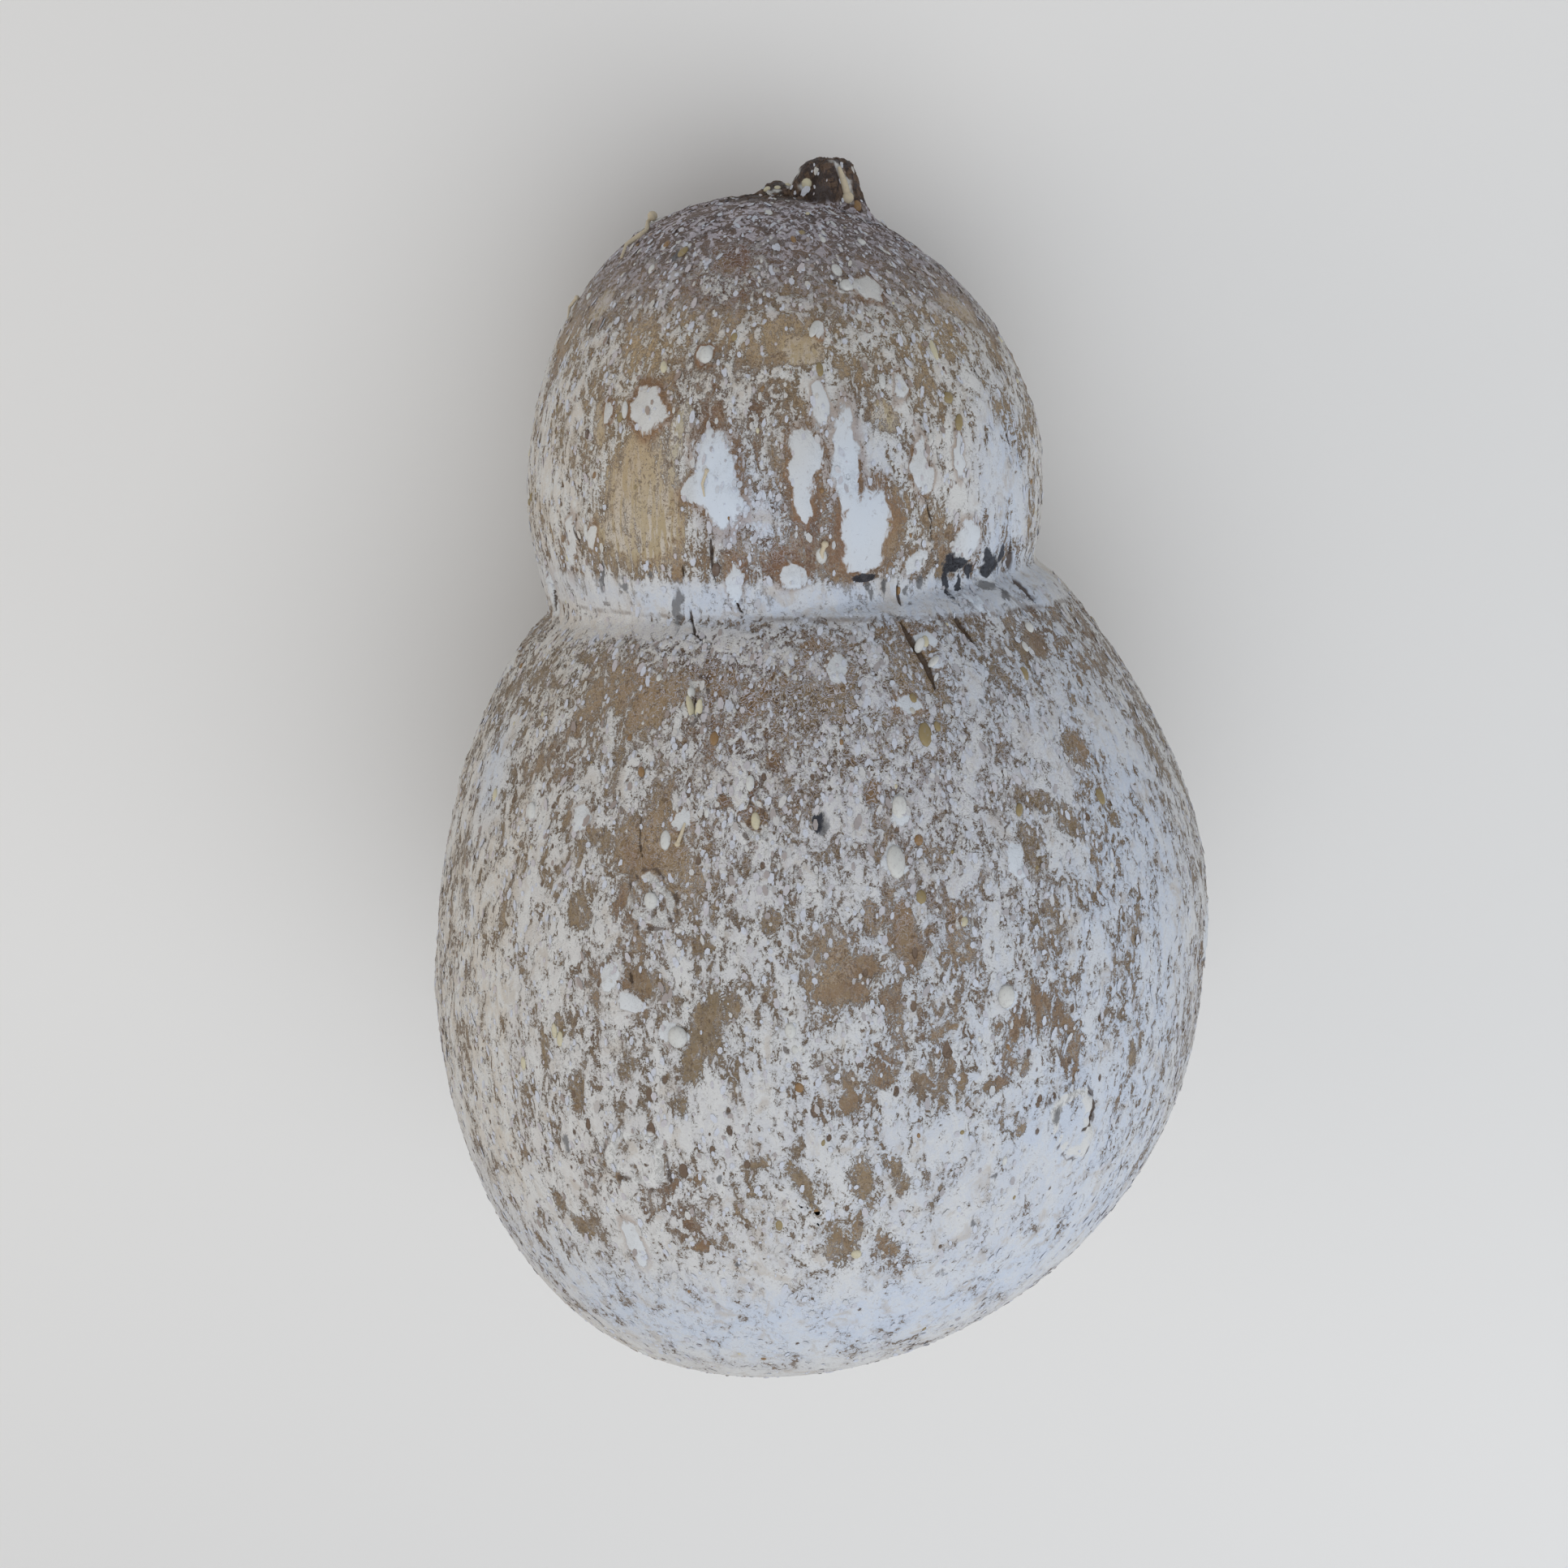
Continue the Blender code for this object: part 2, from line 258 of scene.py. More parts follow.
crack_lines = [(half, [by_pixel(*pixel)[0] for pixel in pixels]) for half, pixels in CRACKS]
crack_lines += [(half, [by_angle(*turn)[0] for turn in turns]) for half, turns in HIDDEN_CRACKS]
print("cracks:", len(crack_lines))

# %% [markdown]
# ## A finer skin along the cracks
#
# Most cracks are about half a millimetre wide, less than the gap between two points of the skin.
# Only the edges near a crack are split, twice, since a finer mesh all over would be far heavier.

# %% Finer skin
# Reach of each round of splitting, in mm from the crack
CUT_REACH = (1.2, 0.6)
FAR = 99.0


def read_points(target):
    """An object's points as an array, in mm."""
    flat = np.empty(len(target.data.vertices) * 3, np.float32)
    target.data.vertices.foreach_get("co", flat)
    return flat.reshape(-1, 3).astype(float) / MM


def line_distance(at, line):
    """Distance of every point from a bent line, and how far along the line it is, 0 to 1."""
    best = np.full(len(at), FAR)
    share = np.zeros(len(at))
    for step, (start, end) in enumerate(zip(line, line[1:])):
        run = end - start
        along = np.clip((at - start) @ run / (run @ run), 0, 1)
        away = np.linalg.norm(at - start - along[:, None] * run, axis=1)
        nearer = away < best
        best[nearer] = away[nearer]
        share[nearer] = (step + along[nearer]) / (len(line) - 1)
    return best, share


def cut_finer(target, wanted):
    """Split every edge whose two ends are wanted."""
    build = bmesh.new()
    build.from_mesh(target.data)
    edges = [edge for edge in build.edges if all(wanted[end.index] for end in edge.verts)]
    bmesh.ops.subdivide_edges(build, edges=edges, cuts=1, use_grid_fill=True)
    bmesh.ops.triangulate(build, faces=[face for face in build.faces if len(face.verts) > 4])
    build.to_mesh(target.data)
    build.free()


for reach in CUT_REACH:
    points = read_points(rind)
    near = np.min([line_distance(points, line)[0] for _, line in crack_lines], axis=0)
    cut_finer(rind, near < reach)
points = read_points(rind)
print("skin points after cutting:", len(points))

# %% [markdown]
# ## Maps of the rind
#
# What the air, the cord and the mould did to each place is kept as numbers on the skin's points:
# how thick the bloom is, where it flaked off, where it caked into chalky plaques, where black
# mould sits. Relief, colour and scattered crumbs all read these maps, so they agree. The edges
# stay soft here. The material sharpens and frays them with noise.

# %% Helpers for the maps
PIXELS_PER_MM = 7.7
# A patch reaches this far into the cheese, in mm, so that none shows on the far side
PATCH_DEPTH = 14.0
# Stands for any distance from a patch or a crack that is too far to matter
OUTSIDE = 9.0
# Size of the waves that fray the patches and how far they shift a point, both in mm
WARPS = ((4.5, 1.1), (1.7, 0.7), (0.8, 0.3))
WARP_SEED = 7


def reach_along(axis):
    """How far every point lies from the base of the cheese along an axis, in mm."""
    return (points - np.array(HUNG_BASE) / MM) @ np.array(axis)


height = reach_along(hung_axis)
noise.seed_set(WARP_SEED)
warped = points.copy()
for span, swing in WARPS:
    warped += [swing * np.array(noise.noise_vector(Vector(point) / span)) for point in points]


def patch_distance(place, half_across, half_along, lean=0.0):
    """Distance of every point from a place, counted so that the patch's edge is at 1."""
    offset = warped - place[0]
    across, along, out = offset @ place[1], offset @ place[2], offset @ place[3]
    c, s = math.cos(math.radians(lean)), math.sin(math.radians(lean))
    away = np.hypot((across * c - along * s) / half_across, (across * s + along * c) / half_along)
    away[out < -PATCH_DEPTH - 0.5 * max(half_across, half_along)] = OUTSIDE
    return away


def pixel_patch(x, y, half_width, half_height, lean=0.0):
    """Distance from a patch given in pixels of the picture."""
    halves = half_width / PIXELS_PER_MM, half_height / PIXELS_PER_MM
    return patch_distance(by_pixel(x, y), *halves, lean)


def edge_field(patches, base=-1.0):
    """1 in the middle of the nearest patch, 0 at its edge, negative outside."""
    field = np.full(len(points), base)
    for away in patches:
        field = np.maximum(field, 1 - away)
    return field


def add_zones(field, zones):
    """A map with soft zones added: pixel, half width and height in pixels, and the amount."""
    for x, y, half_width, half_height, amount in zones:
        field = field + amount * np.exp(-pixel_patch(x, y, half_width, half_height) ** 2)
    return field


def keep(name, values):
    """Store one number a point on the rind, under a name that the material reads."""
    layer = rind.data.attributes.new(name, "FLOAT", "POINT")
    layer.data.foreach_set("value", np.asarray(values, np.float32))
    print(name, "from", round(float(values.min()), 2), "to", round(float(values.max()), 2))


# %% [markdown]
# ## Thickness of the bloom
#
# Down the cheese the bloom thickens: the crown and the shoulder have a frost that the brown
# shows through, and the bottom of the belly, which hung lowest in the damp air, is white. Broad
# zones then add or take away where the picture shows it. On the sides that aren't seen, slow
# noise does the same work.

# %% Bloom map
# Height along the cheese in mm, and the bloom there
BLOOM_BY_HEIGHT = ((0, 0.70), (25, 0.66), (45, 0.63), (70, 0.59), (95, 0.545), (112, 0.50),
                   (118, 0.51), (127, 0.59), (140, 0.60), (155, 0.56), (166, 0.49), (182, 0.45))
# Pixel, half width and half height in pixels, and what the zone adds
BLOOM_ZONES = (
    (820, 776, 170, 24, 0.24), (700, 770, 60, 24, 0.18), (910, 648, 42, 30, 0.20),
    (1070, 445, 50, 50, 0.07), (1000, 1040, 50, 50, 0.07), (860, 1180, 40, 60, 0.06),
    (1100, 1420, 50, 40, 0.08), (720, 1460, 40, 40, 0.08), (900, 1500, 60, 40, 0.05),
    (1050, 1540, 50, 40, 0.06), (940, 845, 110, 36, -0.09), (1335, 1290, 50, 50, -0.10),
    (740, 1270, 60, 60, -0.04), (700, 430, 40, 60, -0.13), (1240, 1180, 40, 60, -0.05),
    (700, 1550, 50, 50, -0.06), (1260, 745, 50, 25, -0.09), (1380, 920, 60, 90, 0.05),
    (600, 1000, 40, 100, 0.05), (1290, 880, 100, 110, 0.09), (1140, 735, 120, 16, 0.08),
    (1340, 1120, 100, 160, 0.05), (700, 850, 90, 70, 0.03), (800, 400, 80, 60, 0.03),
    (1150, 390, 80, 60, 0.03), (1070, 440, 120, 50, -0.07), (920, 470, 60, 50, -0.04),
    (820, 420, 60, 50, -0.03), (980, 265, 150, 40, 0.04), (960, 410, 110, 50, -0.03),
    (1160, 400, 60, 40, -0.06), (890, 570, 45, 70, 0.10), (1000, 540, 30, 50, 0.08),
    (680, 560, 30, 150, 0.08), (1225, 590, 50, 90, 0.14), (960, 680, 90, 28, -0.22),
    (1150, 645, 50, 45, -0.14), (930, 560, 25, 50, -0.16), (800, 610, 70, 80, -0.06),
    (1055, 540, 30, 40, 0.12), (600, 950, 40, 70, 0.12), (600, 1150, 60, 200, 0.06),
    (790, 860, 90, 30, -0.10), (810, 1060, 60, 50, -0.10), (1010, 830, 160, 40, -0.02),
    (1080, 1010, 90, 50, 0.06), (1150, 1080, 60, 40, -0.06), (1320, 940, 60, 60, 0.02),
    (1430, 1050, 60, 220, 0.12), (870, 1260, 60, 60, -0.08), (1080, 1190, 90, 50, -0.05),
    (920, 1370, 60, 50, 0.10), (660, 1150, 60, 160, 0.05), (1240, 1460, 130, 90, 0.14),
    (1200, 1100, 60, 200, 0.04), (1010, 1480, 90, 50, -0.04), (820, 1500, 70, 50, -0.12),
    (1100, 1620, 300, 40, 0.10), (730, 1530, 50, 50, -0.08), (1170, 1320, 120, 50, -0.06),
    (1330, 1370, 50, 60, 0.12),
)
SLOW_SPAN = 30.0
SLOW_SWING = 0.08
FLANK_HEIGHT = 45.0
FLANK_FADE = 30.0

bloom = np.interp(height, *zip(*BLOOM_BY_HEIGHT))
slow = np.array([noise.noise(Vector(point) / SLOW_SPAN) for point in points])
hidden = np.clip(0.5 - (points[:, 2] - FLANK_HEIGHT) / FLANK_FADE, 0, 1)
bloom += SLOW_SWING * slow * (0.4 + 0.6 * hidden)
keep("bloom", add_zones(bloom, BLOOM_ZONES))

# %% [markdown]
# ## Bare skin, windows and plaques
#
# Three kinds of patch have crisp edges. Bare patches are brown skin where a flake of bloom came
# away. Windows are larger, honey-coloured and smooth, where the rind never bloomed. Plaques are
# caked bloom that stands up from the skin like dried paint. Black mould sits at the cord's edge,
# and small grey dots of it lie about. The picture's patches are listed by pixel.

# %% Shown patches
# Pixel, half width and half height in pixels, lean in degrees
BARE = (
    (1068, 652, 40, 58, 4), (992, 590, 30, 60, 4), (1110, 772, 7, 24, -28), (1135, 812, 8, 30, -25),
    (1152, 845, 6, 16, -20), (1187, 774, 7, 28, -32), (1275, 790, 16, 22), (1258, 745, 9, 30, -30),
    (1275, 1045, 15, 30, -8), (1283, 990, 22, 13, 10), (1327, 925, 22, 28, -20), (1316, 1012, 17, 26, -28),
    (1374, 1006, 12, 12), (1258, 984, 8, 14), (1077, 980, 10, 16, 10), (1074, 1130, 12, 18),
    (1112, 1142, 14, 30), (1125, 1172, 14, 26, 10), (1040, 1225, 34, 16), (1065, 1195, 26, 14),
    (711, 1120, 14, 27, -5), (745, 1036, 6, 18), (731, 1034, 6, 12), (772, 1038, 9, 24),
    (802, 1058, 30, 22), (765, 1108, 14, 22, 15), (868, 1262, 15, 46, 12), (855, 1310, 13, 28, 8),
    (900, 1238, 10, 14), (699, 1006, 6, 20, 8), (619, 1021, 8, 12), (665, 943, 10, 14), (734, 1232, 9, 14),
    (711, 1347, 9, 28, -8), (744, 1424, 7, 28, -24), (762, 1445, 12, 10), (825, 1458, 22, 12, -35),
    (860, 1458, 10, 12), (814, 1432, 6, 9), (934, 1436, 20, 12, -35), (990, 1462, 10, 40, -28),
    (1008, 1494, 6, 20, -28), (866, 1534, 20, 9, -20), (825, 1331, 8, 7), (840, 1362, 10, 16, -15),
    (1062, 1452, 13, 34, -8), (1100, 1440, 11, 30, -28), (1114, 1462, 12, 18), (1090, 1532, 14, 30, -22),
    (1036, 1534, 14, 34), (1060, 1512, 11, 14), (1278, 1242, 9, 44, -14), (1318, 1262, 8, 34, -30),
    (1226, 1336, 18, 11, -35), (1262, 1313, 7, 13), (1181, 1338, 6, 26, 4), (1166, 1319, 8, 14),
    (1136, 1336, 10, 14), (1046, 1336, 8, 16, -10), (1090, 1330, 12, 12), (1172, 1263, 10, 8),
    (930, 1010, 17, 17), (925, 975, 6, 18, 6), (955, 938, 10, 14), (888, 992, 8, 12),
    (1230, 1262, 10, 7, -30), (790, 1208, 18, 18), (905, 320, 22, 22), (1046, 1360, 10, 16),
    (1395, 1300, 8, 18, -12), (690, 1478, 12, 22, -35), (720, 1512, 14, 22, -30), (1255, 1388, 10, 14),
    (830, 1048, 12, 20), (860, 1165, 26, 12), (950, 1130, 10, 14), (690, 1262, 8, 12),
)
WINDOWS = (
    (790, 620, 64, 80, 4), (782, 655, 68, 40), (742, 374, 18, 28), (740, 520, 12, 30),
    (1182, 380, 40, 20, 30), (985, 432, 26, 18), (1092, 515, 18, 24), (838, 530, 12, 40),
)
# Raised rings round dried drops
RINGS = (
    (802, 1110, 24, 27), (785, 1425, 30, 30), (1322, 1385, 25, 40, -22), (1187, 1135, 10, 11),
    (980, 1293, 7, 8), (856, 868, 12, 24), (931, 1012, 14, 16), (1043, 352, 12, 12), (965, 828, 9, 10),
)
PLAQUES = (
    (1131, 792, 8, 12, -20), (1140, 786, 7, 10, -20), (1152, 815, 7, 12, -25), (1205, 745, 10, 18, -20),
    (797, 505, 22, 30), (752, 505, 8, 12), (884, 592, 26, 56, -10), (862, 605, 22, 18),
    (992, 572, 21, 44, 4), (988, 618, 9, 22), (1068, 650, 31, 50, 4), (978, 712, 19, 15),
    (1068, 355, 18, 18, -10), (909, 722, 11, 26), (1043, 570, 18, 60), (1134, 572, 12, 34),
    (1180, 560, 8, 28), (870, 438, 8, 10), (1006, 408, 6, 13), (1065, 300, 6, 6), (1108, 478, 9, 18),
    (1010, 500, 9, 22), (655, 1000, 8, 12), (719, 1010, 15, 17, 20), (1103, 1056, 14, 22),
    (755, 1205, 13, 18), (786, 1236, 17, 11), (833, 1276, 14, 15), (1108, 1000, 10, 20),
    (1120, 870, 16, 16), (1030, 825, 10, 22), (783, 1530, 12, 34, -10), (1250, 1060, 14, 18),
    (840, 1012, 10, 14, 20), (686, 735, 10, 34), (1130, 690, 18, 14), (1190, 668, 18, 22),
    (705, 672, 12, 34, 12), (730, 665, 8, 20, 12), (1240, 1229, 11, 14),
)
BLACK_MOULD = (
    (1066, 710, 12, 7), (1176, 692, 20, 14), (1165, 720, 6, 22), (1222, 690, 22, 12, 25),
    (1234, 676, 11, 14), (1212, 702, 12, 8), (1007, 1011, 7, 10), (1190, 706, 6, 12), (1182, 728, 4, 16),
)
GREY_DOTS = (
    (838, 750, 7, 30), (744, 712, 5, 22), (770, 718, 5, 14), (800, 712, 4, 12), (1070, 732, 4, 18),
    (1086, 726, 4, 16), (1136, 716, 6, 12), (1212, 722, 22, 10, 20), (832, 316, 10, 7), (760, 706, 4, 14),
    (1122, 722, 4, 12), (1240, 735, 16, 8, -30), (880, 1664, 9, 4, -15), (990, 1677, 7, 3),
    (1050, 1660, 5, 5), (834, 1614, 6, 5, -20), (980, 1608, 7, 4), (911, 1555, 5, 4), (750, 1607, 4, 3),
    (1010, 1585, 6, 8), (1162, 1566, 12, 8, 20), (1223, 1449, 5, 8, -20), (1010, 1014, 9, 13),
    (883, 1452, 4, 3), (775, 1390, 10, 5, -20), (790, 1408, 5, 8), (700, 1410, 8, 20, -10),
    (1212, 862, 4, 3), (1106, 890, 5, 3), (1210, 1087, 4, 3), (1204, 1505, 6, 22, -30), (1410, 938, 4, 3),
    (1304, 1372, 7, 16, 12),
)
print("shown patches:", sum(len(kind) for kind in (BARE, WINDOWS, RINGS, PLAQUES, BLACK_MOULD, GREY_DOTS)))

# %% [markdown]
# ## Patches on the hidden sides
#
# The sides that the picture doesn't show get patches of the same kinds by a seeded draw over
# angle and height, so that the rind looks the same from all round. A map holds the distance into
# the nearest patch of its kind, and a ring is a narrow band of that distance.

# %% Patch maps
HIDDEN_SEED = 12
HIDDEN_ANGLES = (165, 385)
HIDDEN_HEIGHTS = (6, 176)
OUT_OF_SIGHT = 0.12
PATCH_SIZES = (0.35, 1.0)
PATCH_LEAN = 25
RING_PLACE = 0.9
RING_WIDTH = 0.22
RING_EDGE_PLACE = 1.22
RING_EDGE_WIDTH = 0.12
# The shown patches, how many are drawn on the hidden sides, and their largest half sizes in mm
PATCH_KINDS = {
    "bare": (BARE, 120, 3.2, 6.2),
    "window": (WINDOWS, 5, 9.0, 12.0),
    "plaque": (PLAQUES, 46, 3.6, 6.0),
    "mould": (BLACK_MOULD, 5, 3.2, 2.2),
    "dots": (GREY_DOTS, 46, 1.4, 1.6),
}

draw = np.random.default_rng(HIDDEN_SEED)


def hidden_places(count):
    """Places on the sides that the picture doesn't show, by a seeded draw."""
    places = []
    while len(places) < count:
        place = by_angle(draw.uniform(*HIDDEN_ANGLES), draw.uniform(*HIDDEN_HEIGHTS))
        to_camera = np.array(CAMERA_PLACE) / MM - place[0]
        if place[3] @ to_camera < OUT_OF_SIGHT * np.linalg.norm(to_camera):
            places.append(place)
    return places


def drawn_patches(count, across, along):
    """Patches of drawn sizes on the hidden sides."""
    patches = []
    for place in hidden_places(count):
        size = draw.uniform(*PATCH_SIZES) ** 1.5
        lean = draw.uniform(-PATCH_LEAN, PATCH_LEAN)
        patches.append(patch_distance(place, across * size, along * size, lean))
    return patches


for kind, (shown, count, across, along) in PATCH_KINDS.items():
    patches = [pixel_patch(*patch) for patch in shown] + drawn_patches(count, across, along)
    keep(kind, edge_field(patches))
rings = [pixel_patch(*patch) for patch in RINGS]
keep("ring", edge_field([np.abs(away - RING_PLACE) / RING_WIDTH for away in rings]))
keep("ring_edge", edge_field([np.abs(away - RING_EDGE_PLACE) / RING_EDGE_WIDTH for away in rings]))

# %% [markdown]
# ## Cord band, cracks, and the grey and the painted shade of the crown
#
# The cord kept the rind under it smooth and pale, so the waist has a white band with thin dark
# edges. A crack map counts a crack's edge as 1 and tapers each crack to nothing at its ends. The
# crown carries a lilac-grey dust, densest round the knot, and the same map lays painted shade
# that darkens the crown end. Other maps say where the bloom lies in streaks, in worm-like lines
# or round small pits.

# %% Band, crack and crown maps
CORD_HEIGHT = 123.0
CORD_HALF = 2.1
CRACK_TAPER = 0.3
# Height in mm where the crown's dust and its painted shade begin, and the rise over which they grow
DUST_AND_SHADE_START = 158
DUST_AND_SHADE_RISE = 16
# Height along the cheese in mm, and how rough the bloom is there
ROUGH_BY_HEIGHT = ((0, 0.35), (20, 0.6), (45, 1.0), (150, 1.0), (180, 0.9))
# Pixel, half width and half height in pixels, and what the zone adds
STREAK_ZONES = (
    (950, 735, 340, 30, 0.7), (675, 580, 40, 160, 1.1), (1270, 560, 25, 120, 1.0), (780, 430, 40, 50, 0.6),
    (800, 620, 60, 60, 0.7), (750, 720, 90, 30, 0.8), (575, 1050, 50, 300, 0.9),
    (1440, 1000, 40, 260, 0.5), (640, 1350, 60, 200, 0.6), (1100, 570, 90, 50, 0.5),
)
WORM_ZONES = (
    (1030, 870, 160, 90, 0.9), (900, 830, 120, 50, 0.7), (930, 640, 40, 45, 1.0), (980, 290, 200, 90, 0.9),
    (1150, 960, 120, 60, 0.6), (900, 1050, 160, 90, 0.4), (770, 780, 100, 25, 0.8),
    (1170, 760, 90, 40, 0.5), (1290, 900, 70, 90, 0.4), (1180, 1100, 100, 60, 0.5),
)
PIT_ZONES = (
    (850, 1330, 160, 110, 0.5), (1190, 1310, 140, 90, 0.6), (1380, 1130, 60, 120, 0.4),
    (830, 1430, 110, 80, 0.5), (650, 1050, 60, 120, 0.3), (1000, 1620, 250, 60, 0.2),
    (1130, 1080, 90, 120, 0.3), (900, 1000, 90, 120, 0.3),
)


def tint_map(zones, base):
    """A soft map that is high in the zones."""
    return np.clip(add_zones(np.full(len(points), base), zones), 0, 1.2)


keep("band", (height - CORD_HEIGHT) / CORD_HALF)
crack = np.full(len(points), OUTSIDE)
for half, line in crack_lines:
    away, share = line_distance(points, line)
    taper = np.clip(np.minimum(share, 1 - share) / CRACK_TAPER, 0.15, 1)
    crack = np.minimum(crack, away / (half * taper))
keep("crack", crack)
# Rises towards the crown: lilac-grey dust, and painted shade that darkens the crown end
keep("crown_dust", np.clip((height - DUST_AND_SHADE_START) / DUST_AND_SHADE_RISE, 0, 1) ** 1.3)
keep("streaks", tint_map(STREAK_ZONES, 0.15))
keep("worms", tint_map(WORM_ZONES, 0.10))
keep("pits", tint_map(PIT_ZONES, 0.35))
keep("rough", np.interp(height, *zip(*ROUGH_BY_HEIGHT)))

hung_place = np.stack([reach_along(axis) for axis in (hung_side, hung_up, hung_axis)], 1)
place_layer = rind.data.attributes.new("hung_mm", "FLOAT_VECTOR", "POINT")
place_layer.data.foreach_set("vector", hung_place.astype(np.float32).ravel())

# %% [markdown]
# ## Node sums written as sums
#
# The relief and the colour of the rind come from the same noise, once in a Geometry Nodes tree
# and once in a shader tree. A small class wraps a socket, so that both can be written as plain
# sums, and one function can then build the layers of both trees.

# %% Wires
class Wire:
    """A node socket that can be used in sums, in a shader tree or in a geometry tree."""

    def __init__(self, tree, socket=None):
        self.tree = tree
        self.socket = socket

    def node(self, kind, settings, inputs, output=0):
        """Any node: its type, its settings, its inputs by name or number, and the output."""
        made = self.tree.nodes.new(kind)
        for name, value in settings.items():
            setattr(made, name, value)
        for name, value in inputs.items():
            if isinstance(value, Wire):
                self.tree.links.new(value.socket, made.inputs[name])
            else:
                made.inputs[name].default_value = value
        return Wire(self.tree, made.outputs[output])

    def maths(self, operation, *values):
        return self.node("ShaderNodeMath", {"operation": operation}, dict(enumerate(values)))

    def vector(self, operation, *values, output=0):
        settings = {"operation": operation}
        return self.node("ShaderNodeVectorMath", settings, dict(enumerate(values)), output)

    def __add__(self, other):
        return self.maths("ADD", self, other)

    def __radd__(self, other):
        return self.maths("ADD", other, self)

    def __sub__(self, other):
        return self.maths("SUBTRACT", self, other)

    def __rsub__(self, other):
        return self.maths("SUBTRACT", other, self)

    def __mul__(self, other):
        return self.maths("MULTIPLY", self, other)

    def __rmul__(self, other):
        return self.maths("MULTIPLY", other, self)

    def ramp(self, low, high):
        """0 up to low, 1 from high on, with soft ends. Low may be the larger number."""
        return self.node("ShaderNodeMapRange", {"interpolation_type": "SMOOTHSTEP"},
                         {"Value": self, "From Min": low, "From Max": high})

    def over(self, colour, share):
        """A colour laid over this one, by a share from 0 to 1."""
        return self.node("ShaderNodeMix", {"data_type": "RGBA", "clamp_factor": True},
                         {0: share, 6: self, 7: colour}, 2)


def blend(share, low, high):
    """Two plain colours mixed by a share from 0 to 1."""
    return share.node("ShaderNodeMix", {"data_type": "RGBA"}, {0: share, 6: low, 7: high}, 2)


def clouds(place, size, detail, rough, bend):
    """Noise with patches about a size in mm across, from 0 to 1 with most of it near a half."""
    return place.node("ShaderNodeTexNoise", {}, {"Vector": place, "Scale": 1 / size,
                      "Detail": detail, "Roughness": rough, "Distortion": bend})


def stretched(place, along):
    """The place, with the patches on it drawn out along the cheese where along is under 1."""
    return place.vector("MULTIPLY", place, (1.0, 1.0, along))


# %% [markdown]
# ## One recipe for the layers of the rind
#
# The recipe reads the maps and frays them. Broad noise breaks the bloom into islands, finer
# noise eats their edges, and the patches lie along the cheese because the curd was stretched
# that way. The relief asks for it at every point of the skin, the material at every pixel.

# %% Layers
BLOOM_EDGE = 0.50
BLOOM_FULL = 0.57
# Share along the cheese (less is longer), size in mm, detail, roughness and bend of each noise
NOISES = {
    "broad": (0.45, 4.6, 6, 0.66, 0.6),
    "fine": (0.6, 1.4, 5, 0.72, 1.0),
    "grain": (1.0, 0.55, 2, 0.6, 1.5),
    "worm": (1.0, 1.05, 1.5, 0.5, 1.8),
    "streak": (0.10, 0.8, 3, 0.6, 0.0),
    "tone": (0.6, 16.0, 3, 0.5, 0.0),
    "wash": (0.7, 3.4, 4, 0.6, 0.8),
    "speck": (1.0, 1.6, 3, 0.65, 1.4),
}


def shader_map(sheet, name):
    """A map of the rind, read in a shader tree."""
    output = "Vector" if name == "hung_mm" else "Fac"
    return sheet.node("ShaderNodeAttribute", {"attribute_name": name}, {}, output)


def geometry_map(sheet, name):
    """A map of the rind, read in a geometry tree."""
    kind = "FLOAT_VECTOR" if name == "hung_mm" else "FLOAT"
    return sheet.node("GeometryNodeInputNamedAttribute", {"data_type": kind}, {"Name": name})


def rind_noise(place, name):
    """One of the noises in the table, at a place."""
    along, size, detail, rough, bend = NOISES[name]
    return clouds(stretched(place, along), size, detail, rough, bend)


def rind_layers(sheet, read):
    """The noises and the frayed shares of every layer, by name."""
    place = read(sheet, "hung_mm")
    layers = {name: rind_noise(place, name) for name in ("broad", "fine", "grain", "streak")}
    broad, fine, grain, streak = layers.values()
    layers["place"] = place
    worm = rind_noise(place, "worm") - 0.5
    fray = (fine - 0.5) * 1.6 + (broad - 0.5) * 0.8
    layers["worm"] = sheet.maths("ABSOLUTE", worm).ramp(0.045, 0.012) * read(sheet, "worms")
    layers["bare"] = (read(sheet, "bare") + fray * 2.1).ramp(0.08, 0.30)
    layers["window"] = (read(sheet, "window") + fray * 1.5).ramp(-0.05, 0.38)
    layers["plaque"] = (read(sheet, "plaque") + fray * 0.5).ramp(0.04, 0.20)
    layers["ring"] = (read(sheet, "ring") + fray * 0.7).ramp(0.0, 0.4)
    layers["ring_edge"] = (read(sheet, "ring_edge") + fray * 0.9).ramp(0.05, 0.5)
    cell = sheet.node("ShaderNodeTexVoronoi", {}, {"Vector": stretched(place, 0.6), "Scale": 0.45})
    chance = Wire(sheet.tree, cell.socket.node.outputs["Color"])
    chance = sheet.vector("DOT_PRODUCT", chance, (1, 0, 0), output=1)
    pit_size = (chance - 0.52) * 0.75 * read(sheet, "pits") + (fine - 0.5) * 0.35
    layers["pit"] = (pit_size - cell).ramp(-0.02, 0.06)
    layers["mould"] = (read(sheet, "mould") + fray * 0.9).ramp(0.0, 0.25)
    layers["dots"] = (read(sheet, "dots") + fray * 0.8).ramp(0.05, 0.40)
    layers["crack"] = read(sheet, "crack").ramp(1.05, 0.65)
    band_place = read(sheet, "band") + (fine - 0.5) * 1.2
    layers["band"] = band_place.ramp(-1.2, -0.9) * band_place.ramp(1.5, 1.0)
    rough = read(sheet, "rough")
    cover = read(sheet, "bloom") + (broad - 0.5) * 1.05 + (fine - 0.5) * 1.25 * rough
    cover = cover + (grain - 0.5) * 0.5 * rough + (streak - 0.5) * read(sheet, "streaks")
    cover = cover - layers["bare"] * 0.30 - layers["window"] * 0.24 - layers["pit"] * 0.25
    layers["cover"] = cover + layers["band"] * 0.16
    layers["bloom"] = layers["cover"].ramp(BLOOM_EDGE, BLOOM_FULL)
    return layers


